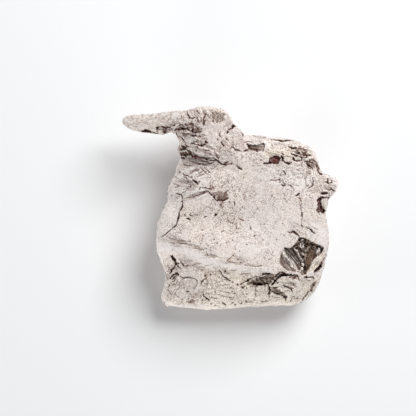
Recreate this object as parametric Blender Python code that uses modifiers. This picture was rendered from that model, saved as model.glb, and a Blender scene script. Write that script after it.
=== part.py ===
"""Iron meteorite: a torn, pale-skinned mass that lies on a flat facet, with a dark inclusion in a pocket.

Outlines are drawn from above on a sheet of squares, GRID wide: columns count to the right (+X) and rows
count down the sheet (-Y). Heights are millimetres above the facet that the mass rests on.
"""
import bmesh
import bpy
import numpy as np
from mathutils import Matrix, Vector, noise

# Driving dimensions, in metres
LENGTH = 0.0868  # from the tip of the torn arm to the knob on the right flank
GRID_COLUMNS = 217  # squares of the sheet along that length
GRID = LENGTH / GRID_COLUMNS
ORIGIN_COLUMN = 230.0
ORIGIN_ROW = 209.3
MM = 0.001

BLANK_HEIGHT = 0.036  # of the slabs that are shaped into the body, neck, arm and knob
SEAT_GAP = 0.0003  # all round the inclusion
SOCKET_FLOOR = 0.014
SOCKET_TOP = 0.050  # well above the skin, as the cutter is open to the sky
GROUND_DEPTH = 0.010  # of the cutter that leaves the flat facet at height 0

BODY_EDGE = 0.0045  # rounding of the upper edge of each lump, and of its lower edge
BODY_FOOT = 0.0090
NECK_EDGE = 0.0030
NECK_FOOT = 0.0040
ARM_EDGE = 0.0026
ARM_FOOT = 0.0026
KNOB_EDGE = 0.0025
KNOB_FOOT = 0.0040

TUCK = 0.0040  # how far the body's foot draws in under its widest part
TUCK_FROM = 0.75  # share of the height below which the sides draw in
DENT_DEPTH = 0.0045  # of the thumbprint hollows in the sides
DENT_SIZE = 0.013  # from one hollow to the next

THINNEST = 0.0020  # between an underside and the top above it
SHEET_STIFFNESS = 0.0035  # rounds the sheet over the places that it is drawn through
WELD = 1e-6
COARSE_VOXEL = 0.0010
FINE_VOXEL = 0.0007
INCLUSION_VOXEL = 0.0006
SMOOTH_ROUNDS = 2
MASS_TRIANGLES = 7400
INCLUSION_TRIANGLES = 500

PALE_SKIN = (0.69, 0.61, 0.57, 1.0)
DARK_MINERAL = (0.10, 0.075, 0.06, 1.0)

# Outlines, as (column, row)
BODY_OUTLINE = [
    (177, 147), (179, 153), (178, 155), (182, 159), (178, 164), (176, 170), (175, 175), (171, 181),
    (167, 188), (167, 193), (169, 200), (168, 202), (163, 208), (162, 213), (158, 220), (156.5, 225),
    (156, 240), (157, 252), (161, 262), (163, 268), (165, 276), (164, 287), (161.5, 297), (161, 301),
    (163, 304.5), (166, 307), (185, 309.5), (203, 311.5), (222, 310.5), (245, 309), (268, 307),
    (292, 306.5), (297, 306), (305, 302), (309, 300), (314, 293), (319, 287), (322, 276), (325, 265),
    (327, 255), (329, 245), (329.5, 238), (328, 227), (325, 218), (325, 214), (327, 206), (329, 198.5),
    (326, 190), (324, 181), (322, 172.5), (320, 170), (317, 160), (315, 155), (313, 151), (310, 147.5),
    (302, 144), (297, 141.5), (292, 139.5), (285, 138.5), (265, 136.5), (243.5, 136), (232, 128),
    (214, 122), (198, 126), (184, 138),
]
NECK_OUTLINE = [
    (166, 128), (166, 116), (172, 112.5), (185, 112), (190, 110), (195, 108.5), (205, 107), (212, 108),
    (220, 109), (226, 111), (229, 114), (231, 118), (233, 125), (239, 128), (243, 134), (245, 138),
    (252, 152), (248, 168), (240, 169), (231, 165), (222, 165), (212, 161), (199, 157.5), (193, 156),
    (190, 152), (187, 150), (179, 147.5), (180, 143), (177, 136), (174, 133),
]
ARM_OUTLINE = [
    (121.5, 121), (122.5, 118), (125, 116), (130, 115), (145, 115), (157, 113.5), (170, 112.5),
    (190, 112), (196, 122), (190, 132), (177, 135), (173, 132.5), (168, 131), (166, 135), (162, 137),
    (158, 135.5), (148, 134), (142, 134), (132, 131.5), (125, 127.5), (123, 125),
]
KNOB_OUTLINE = [
    (316, 178), (322, 175.5), (326, 176.5), (334, 177), (336, 179), (338.5, 183), (338.5, 187),
    (336, 191), (334, 194), (331, 196), (325, 199), (317, 196),
]
GROUND_OUTLINE = [(100, 90), (360, 90), (360, 330), (100, 330)]
POCKET_OUTLINE = [
    (299, 237.5), (304, 238), (308, 241), (314, 243), (320, 245), (323, 248.5), (320, 254),
    (313, 259), (311, 263), (308, 268), (304, 271), (301, 273), (296, 270.5), (290, 270), (285, 269),
    (281, 266), (279, 262), (279.5, 255), (281, 252), (284, 248.5), (289, 248), (293, 244.5), (296, 241),
]

# Heights of the upper side, as (column, row, millimetres)
BODY_TOP = [
    (178, 152, 27), (176, 175, 30), (168, 195, 28), (168, 210, 29), (160, 230, 28.5), (190, 170, 33),
    (196, 190, 34.5), (225, 178, 35), (222, 205, 34), (255, 195, 34.5), (195, 222, 32.5),
    (228, 228, 32.5), (262, 222, 33), (290, 205, 35), (312, 195, 34), (322, 182, 31), (320, 215, 32),
    (324, 238, 28), (302, 228, 34), (280, 240, 34), (275, 255, 35), (163, 242, 29), (180, 249, 33),
    (200, 255, 35), (220, 261, 36), (250, 268, 36.5), (275, 270, 35), (164, 262, 23), (182, 272, 26),
    (205, 278, 28), (235, 283, 29), (258, 290, 27), (172, 290, 20), (200, 293, 21.5), (235, 297, 21.5),
    (175, 304, 15.5), (205, 307, 15.5), (245, 305, 16), (280, 303, 18), (272, 292, 23), (296, 284, 27),
    (296, 296, 21), (308, 274, 28), (313, 285, 23), (319, 262, 26), (322, 250, 28), (250, 146, 36.5),
    (272, 144, 35), (298, 148, 34.5), (288, 156, 37), (262, 160, 37.5), (304, 164, 35.5),
    (285, 172, 37), (255, 175, 36), (300, 180, 35.5), (278, 139, 31), (210, 140, 29), (195, 132, 25),
    (225, 130, 26), (205, 152, 31),
]
NECK_TOP = [
    (168, 122, 32.5), (180, 120, 35), (195, 116, 37), (212, 113, 36.5), (226, 122, 37), (236, 132, 34),
    (190, 134, 36), (208, 134, 39.5), (222, 142, 39.5), (238, 150, 38.5), (186, 145, 33),
    (200, 150, 38.5), (215, 155, 39), (235, 162, 38),
]
NECK_UNDER = [
    (168, 122, 24), (190, 116, 20), (215, 112, 17), (232, 124, 15), (186, 140, 22), (200, 150, 18),
    (225, 150, 14), (240, 165, 14),
]
ARM_TOP = [(124, 121, 30), (145, 123, 31.5), (160, 121, 32), (175, 120, 34), (190, 120, 35), (162, 133, 29)]
ARM_UNDER = [(124, 121, 25), (145, 123, 24), (160, 121, 23), (190, 120, 21), (162, 133, 24)]
KNOB_TOP = [(322, 187, 33), (334, 186, 30.5)]
KNOB_UNDER = [(318, 187, 22), (334, 186, 25)]

# Heights of the body's underside: the middle dips below the flat facet, which cuts it off at height 0
BODY_UNDER = [
    (240, 222, -1.6), (212, 236, -1.1), (272, 208, -1.1), (240, 265, -0.8), (168, 240, 2.4),
    (175, 292, 0.4), (235, 302, 0), (300, 292, 1), (322, 235, 2.4), (305, 165, 2.4), (250, 148, 2),
    (190, 150, 2.4), (172, 190, 3),
]

# Facets of the inclusion: the two banks of a valley, as (column, row, millimetres) at three corners
LEFT_BANK = ((279, 262, 30), (284, 248, 29.5), (302, 262, 23.5))
RIGHT_BANK = ((303, 240, 25), (303, 270, 22), (323, 250, 29))

# Crevices, as (column, row, height in mm, half width in mm)
NECK_CREVICE = [
    (174, 146, 32, 1.2), (187, 149, 34, 1.3), (193, 155, 35.5, 1.3), (205, 158.5, 36, 1.4),
    (216, 161, 36.5, 1.3), (227, 164.5, 37, 1.0), (236, 167, 38, 0.6),
]
CAVE = [
    (240, 285, 32, 0.7), (250, 279.5, 32, 1.8), (262, 277.5, 32, 2.0), (276, 276, 32, 1.4),
    (290, 274.5, 31, 1.1), (301, 275.5, 30, 0.7),
]
FLANK_RECESS = [(316, 198, 35, 0.7), (319.5, 206, 32, 1.5), (323.5, 212.5, 29, 1.6), (330, 214, 25, 1.0)]


def across(column, row):
    """A square of the sheet as X and Y in metres."""
    return (column - ORIGIN_COLUMN) * GRID, (ORIGIN_ROW - row) * GRID


def empty_scene():
    for obj in list(bpy.data.objects):
        bpy.data.objects.remove(obj, do_unlink=True)


def collection(name):
    made = bpy.data.collections.new(name)
    bpy.context.scene.collection.children.link(made)
    return made


def evaluated_mesh(obj, name):
    """The mesh that an object's curve or modifiers give, welded, and the object itself removed."""
    bpy.context.view_layer.update()
    graph = bpy.context.evaluated_depsgraph_get()
    mesh = bpy.data.meshes.new_from_object(obj.evaluated_get(graph))
    mesh.name = name
    bpy.data.objects.remove(obj, do_unlink=True)
    skin = bmesh.new()
    skin.from_mesh(mesh)
    bmesh.ops.remove_doubles(skin, verts=skin.verts, dist=WELD)
    bmesh.ops.recalc_face_normals(skin, faces=skin.faces)
    skin.to_mesh(mesh)
    skin.free()
    return mesh


def read_points(mesh):
    flat = np.empty(len(mesh.vertices) * 3, np.float32)
    mesh.vertices.foreach_get("co", flat)
    return flat.reshape(-1, 3).astype(float)


def write_points(mesh, place):
    mesh.vertices.foreach_set("co", place.astype(np.float32).ravel())
    mesh.update()


def slab(name, outline, low, high):
    """A flat-topped slab of an outline, as a mesh."""
    curve = bpy.data.curves.new(name, "CURVE")
    curve.dimensions = "2D"
    curve.fill_mode = "BOTH"
    curve.extrude = (high - low) / 2
    spline = curve.splines.new("POLY")
    spline.points.add(len(outline) - 1)
    for point, (column, row) in zip(spline.points, outline):
        point.co = (*across(column, row), 0, 1)
    spline.use_cyclic_u = True
    obj = bpy.data.objects.new(name, curve)
    bpy.context.scene.collection.objects.link(obj)
    mesh = evaluated_mesh(obj, name)
    mesh.transform(Matrix.Translation((0, 0, (low + high) / 2)))
    return mesh


def remeshed(mesh, voxel):
    """A copy of a closed mesh in even, small faces."""
    obj = bpy.data.objects.new(mesh.name, mesh)
    bpy.context.scene.collection.objects.link(obj)
    remesh = obj.modifiers.new("even", "REMESH")
    remesh.mode = "VOXEL"
    remesh.voxel_size = voxel
    return evaluated_mesh(obj, mesh.name)


def inside_distance(points, outline):
    """How far each point lies from an outline, in metres, seen from above."""
    corners = np.array([across(*corner) for corner in outline])
    nearest = np.full(len(points), np.inf)
    for start, end in zip(corners, np.roll(corners, -1, axis=0)):
        run = end - start
        along = np.clip((points - start) @ run / (run @ run), 0, 1)
        gap = points - start - along[:, None] * run
        nearest = np.minimum(nearest, np.hypot(*gap.T))
    return nearest


def blended(points, places):
    """Height at each point, in metres: a smooth sheet drawn through the heights of the places."""
    centres = np.array([across(column, row) for column, row, _ in places])
    heights = np.array([millimetres for _, _, millimetres in places]) * MM
    level = heights.mean()

    def stretch(ends):
        gap = ends[:, None, :] - centres[None, :, :]
        return np.sqrt((gap**2).sum(axis=2) + SHEET_STIFFNESS**2)

    pull = np.linalg.solve(stretch(centres), heights - level)
    return stretch(points) @ pull + level


def tucked(place, roof, centre):
    """Sides drawn in towards the foot, with hollows, below the widest part. Points are changed in place."""
    low_part = np.clip(1 - place[:, 2] / (TUCK_FROM * roof), 0, 1)
    low_part = low_part * low_part * (3 - 2 * low_part)
    hollow = np.array([noise.noise(Vector(spot) / DENT_SIZE) for spot in place])
    draw = low_part * (TUCK + DENT_DEPTH * np.clip(0.3 + hollow, 0, 1))
    away = place[:, :2] - centre
    reach = np.hypot(*away.T)
    place[:, :2] -= away / reach.max() * draw[:, None]


def rounding(inside, radius):
    """How far the skin drops at a distance inside the outline, for an edge of a radius."""
    rest = np.clip(radius - inside, 0, radius)
    return radius - np.sqrt(radius**2 - rest**2)


def lump(name, outline, top, under, top_round, under_round):
    """A slab whose top and underside are moved to blended heights and rounded over at the outline."""
    mesh = remeshed(slab(name, outline, 0, BLANK_HEIGHT), COARSE_VOXEL)
    place = read_points(mesh)
    plan = place[:, :2]
    inside = inside_distance(plan, outline)
    floor = blended(plan, under) + rounding(inside, under_round)
    roof = np.maximum(blended(plan, top) - rounding(inside, top_round), floor + THINNEST)
    place[:, 2] = floor + height_share(place) * (roof - floor)
    tucked(place, roof, plan.mean(axis=0))
    write_points(mesh, place)
    return mesh


def height_share(place):
    low, high = place[:, 2].min(), place[:, 2].max()
    return (place[:, 2] - low) / (high - low)


def joined(name, meshes):
    """Overlapping lumps fused into one skin."""
    skins = bmesh.new()
    for mesh in meshes:
        skins.from_mesh(mesh)
        bpy.data.meshes.remove(mesh)
    fused = bpy.data.meshes.new(name)
    skins.to_mesh(fused)
    skins.free()
    return remeshed(fused, FINE_VOXEL)


def crevice(name, route):
    """A cutter along a route, as a tube whose half width changes from point to point."""
    curve = bpy.data.curves.new(name, "CURVE")
    curve.dimensions = "3D"
    curve.bevel_depth = MM
    curve.bevel_resolution = 1
    curve.use_fill_caps = True
    spline = curve.splines.new("POLY")
    spline.points.add(len(route) - 1)
    for point, (column, row, height, half_width) in zip(spline.points, route):
        point.co = (*across(column, row), height * MM, 1)
        point.radius = half_width
    obj = bpy.data.objects.new(name, curve)
    bpy.context.scene.collection.objects.link(obj)
    return evaluated_mesh(obj, name)


def grown(outline, distance):
    """An outline moved outwards by a distance in metres, or inwards by a negative one."""
    corners = [Vector(corner) for corner in outline]
    moved = []
    for before, corner, after in zip(corners[-1:] + corners, corners, corners[1:] + corners[:1]):
        ahead = (after - corner).normalized()
        behind = (corner - before).normalized()
        along = (ahead + behind).normalized()
        outward = Vector((along.y, -along.x))
        spread = max(outward.dot(Vector((ahead.y, -ahead.x))), 0.5)
        moved.append(tuple(corner + outward * (distance / GRID / spread)))
    return moved


def plane_height(points, corners):
    """Height at each point of the plane through three corners, in metres."""
    rows = np.array([(*across(column, row), 1.0) for column, row, _ in corners])
    slope = np.linalg.solve(rows, np.array([corner[2] * MM for corner in corners]))
    return points @ slope[:2] + slope[2]


def material(name, colour, roughness, metallic):
    made = bpy.data.materials.new(name)
    made.use_nodes = True
    shader = made.node_tree.nodes["Principled BSDF"]
    shader.inputs["Base Color"].default_value = colour
    shader.inputs["Roughness"].default_value = roughness
    shader.inputs["Metallic"].default_value = metallic
    made.diffuse_color = colour
    return made


def part(name, mesh, group, finish):
    obj = bpy.data.objects.new(name, mesh)
    group.objects.link(obj)
    mesh.materials.clear()
    mesh.materials.append(finish)
    return obj


def cutter(name, mesh, group, target):
    obj = bpy.data.objects.new(name, mesh)
    group.objects.link(obj)
    obj.hide_render = True
    obj.display_type = "WIRE"
    cut = target.modifiers.new(name, "BOOLEAN")
    cut.operation = "DIFFERENCE"
    cut.solver = "EXACT"
    cut.object = obj
    return obj


def thinned(obj, triangles):
    """Decimate to about a number of triangles."""
    faces = sum(len(face.vertices) - 2 for face in obj.data.polygons)
    thin = obj.modifiers.new("thin", "DECIMATE")
    thin.ratio = triangles / faces
    thin.use_collapse_triangulate = True


def softened(obj, rounds):
    soft = obj.modifiers.new("soft", "SMOOTH")
    soft.factor = 0.5
    soft.iterations = rounds


def iron_mass(group, cutters, finish):
    body = lump("body", BODY_OUTLINE, BODY_TOP, BODY_UNDER, BODY_EDGE, BODY_FOOT)
    neck = lump("neck", NECK_OUTLINE, NECK_TOP, NECK_UNDER, NECK_EDGE, NECK_FOOT)
    arm = lump("arm", ARM_OUTLINE, ARM_TOP, ARM_UNDER, ARM_EDGE, ARM_FOOT)
    knob = lump("knob", KNOB_OUTLINE, KNOB_TOP, KNOB_UNDER, KNOB_EDGE, KNOB_FOOT)
    mass = part("iron_mass", joined("iron_mass", [body, neck, arm, knob]), group, finish)
    softened(mass, SMOOTH_ROUNDS)
    thinned(mass, MASS_TRIANGLES)
    ground = slab("ground", GROUND_OUTLINE, -GROUND_DEPTH, 0)
    socket = slab("socket", POCKET_OUTLINE, SOCKET_FLOOR, SOCKET_TOP)
    cutter("ground", ground, cutters, mass)
    cutter("socket", socket, cutters, mass)
    cutter("neck_crevice", crevice("neck_crevice", NECK_CREVICE), cutters, mass)
    cutter("cave", crevice("cave", CAVE), cutters, mass)
    cutter("flank_recess", crevice("flank_recess", FLANK_RECESS), cutters, mass)
    return mass


def dark_inclusion(group, finish):
    """A faceted mineral body that fills the lower part of the pocket."""
    outline = grown(POCKET_OUTLINE, -SEAT_GAP)
    mesh = remeshed(slab("dark_inclusion", outline, 0, BLANK_HEIGHT), INCLUSION_VOXEL)
    place = read_points(mesh)
    plan = place[:, :2]
    floor = SOCKET_FLOOR + SEAT_GAP
    roof = np.maximum(plane_height(plan, LEFT_BANK), plane_height(plan, RIGHT_BANK))
    place[:, 2] = floor + height_share(place) * (roof - floor)
    write_points(mesh, place)
    inclusion = part("dark_inclusion", mesh, group, finish)
    thinned(inclusion, INCLUSION_TRIANGLES)
    return inclusion


def main():
    empty_scene()
    group = collection("iron_meteorite")
    cutters = collection("cutters")
    pale = material("pale_skin", PALE_SKIN, 0.85, 0.1)
    dark = material("dark_mineral", DARK_MINERAL, 0.35, 0.2)
    iron_mass(group, cutters, pale)
    dark_inclusion(group, dark)


main()
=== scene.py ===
import bmesh
import bpy
import numpy as np
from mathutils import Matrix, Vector, noise
from mathutils.bvhtree import BVHTree


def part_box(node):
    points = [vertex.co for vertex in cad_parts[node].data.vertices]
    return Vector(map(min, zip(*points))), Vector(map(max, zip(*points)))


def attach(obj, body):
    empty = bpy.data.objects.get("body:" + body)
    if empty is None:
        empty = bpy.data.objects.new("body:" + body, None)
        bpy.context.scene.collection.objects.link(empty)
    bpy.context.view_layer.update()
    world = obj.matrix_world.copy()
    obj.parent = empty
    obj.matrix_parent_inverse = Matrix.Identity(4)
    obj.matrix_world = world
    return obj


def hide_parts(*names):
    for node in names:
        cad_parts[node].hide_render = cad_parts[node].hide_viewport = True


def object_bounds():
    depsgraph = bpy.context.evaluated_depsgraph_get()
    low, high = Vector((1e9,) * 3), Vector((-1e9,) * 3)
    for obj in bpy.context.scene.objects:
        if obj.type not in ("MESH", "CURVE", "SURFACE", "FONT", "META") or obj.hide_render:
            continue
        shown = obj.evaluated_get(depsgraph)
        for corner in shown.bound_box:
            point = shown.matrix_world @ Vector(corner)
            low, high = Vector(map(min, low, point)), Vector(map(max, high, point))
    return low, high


bl_info = {
    "name": "Iron meteorite",
    "version": (1, 0, 0),
    "blender": (4, 5, 0),
    "location": "View3D > Sidebar > Meteorite",
    "description": "A torn, pale-skinned iron meteorite with a dark inclusion, on a white table",
    "category": "Object",
}

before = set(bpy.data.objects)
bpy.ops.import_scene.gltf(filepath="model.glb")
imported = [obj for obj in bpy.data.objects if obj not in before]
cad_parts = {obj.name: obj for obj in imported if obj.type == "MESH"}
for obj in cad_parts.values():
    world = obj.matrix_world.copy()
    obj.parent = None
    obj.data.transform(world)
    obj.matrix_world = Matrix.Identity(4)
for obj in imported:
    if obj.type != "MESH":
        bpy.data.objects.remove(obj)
CAD_LOW, CAD_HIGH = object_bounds()

MM = 0.001
MM_PER_METRE = 1000

# The relief is drawn from above on a sheet of squares: columns count to the right (+X), rows down (-Y).
# A path or an outline lists the column and row of each of its points in turn.
# These are the side of a square in metres, and the column and row over the frame's origin.
GRID = 0.0004
ORIGIN_COLUMN = 230.0
ORIGIN_ROW = 209.3

SOCKET_FLOOR = 14.0 * MM
INCLUSION_TOP = 27.0 * MM
MOST_TRIANGLES = 195000

# Rounds of halving the skin's faces: the least upward slope, the reach round what is drawn, in squares, and
# whether only the sharp things count
FINENESS = ((0.12, 0, False), (0.3, 2.0, False), (0.3, 0.6, True))
INCLUSION_ROUNDS = 2
INCLUSION_SLOPE = 0.5

# ---------------------------------------------------------------------------------------------------------
# The relief, as lines and patches on the sheet
# ---------------------------------------------------------------------------------------------------------

# The rim of the open pocket
POCKET_RIM = [
    298.6, 237.5, 301, 237.2, 304, 238, 307, 239.5, 309.5, 241.2, 313, 242.5, 316, 243.7, 319, 245,
    321.5, 246.3, 323.2, 247.8, 322.6, 250, 321.4, 252.4, 319.5, 254.6, 316.4, 256.6, 313.4, 259.2,
    311.4, 262, 310.6, 265, 309, 268.4, 307, 270.6, 305.4, 274, 301.6, 275, 300, 272.8, 297, 271.4,
    293, 270.6, 288, 269.6, 284.6, 268.2, 281.6, 266.4, 278.7, 262.6, 279.1, 258.5, 280.2, 253.2,
    283, 249.6, 284.4, 247.4, 287.8, 248.1, 290, 247.3, 292.6, 244.7, 295.2, 242.3, 296.4, 239.8,
]

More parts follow.
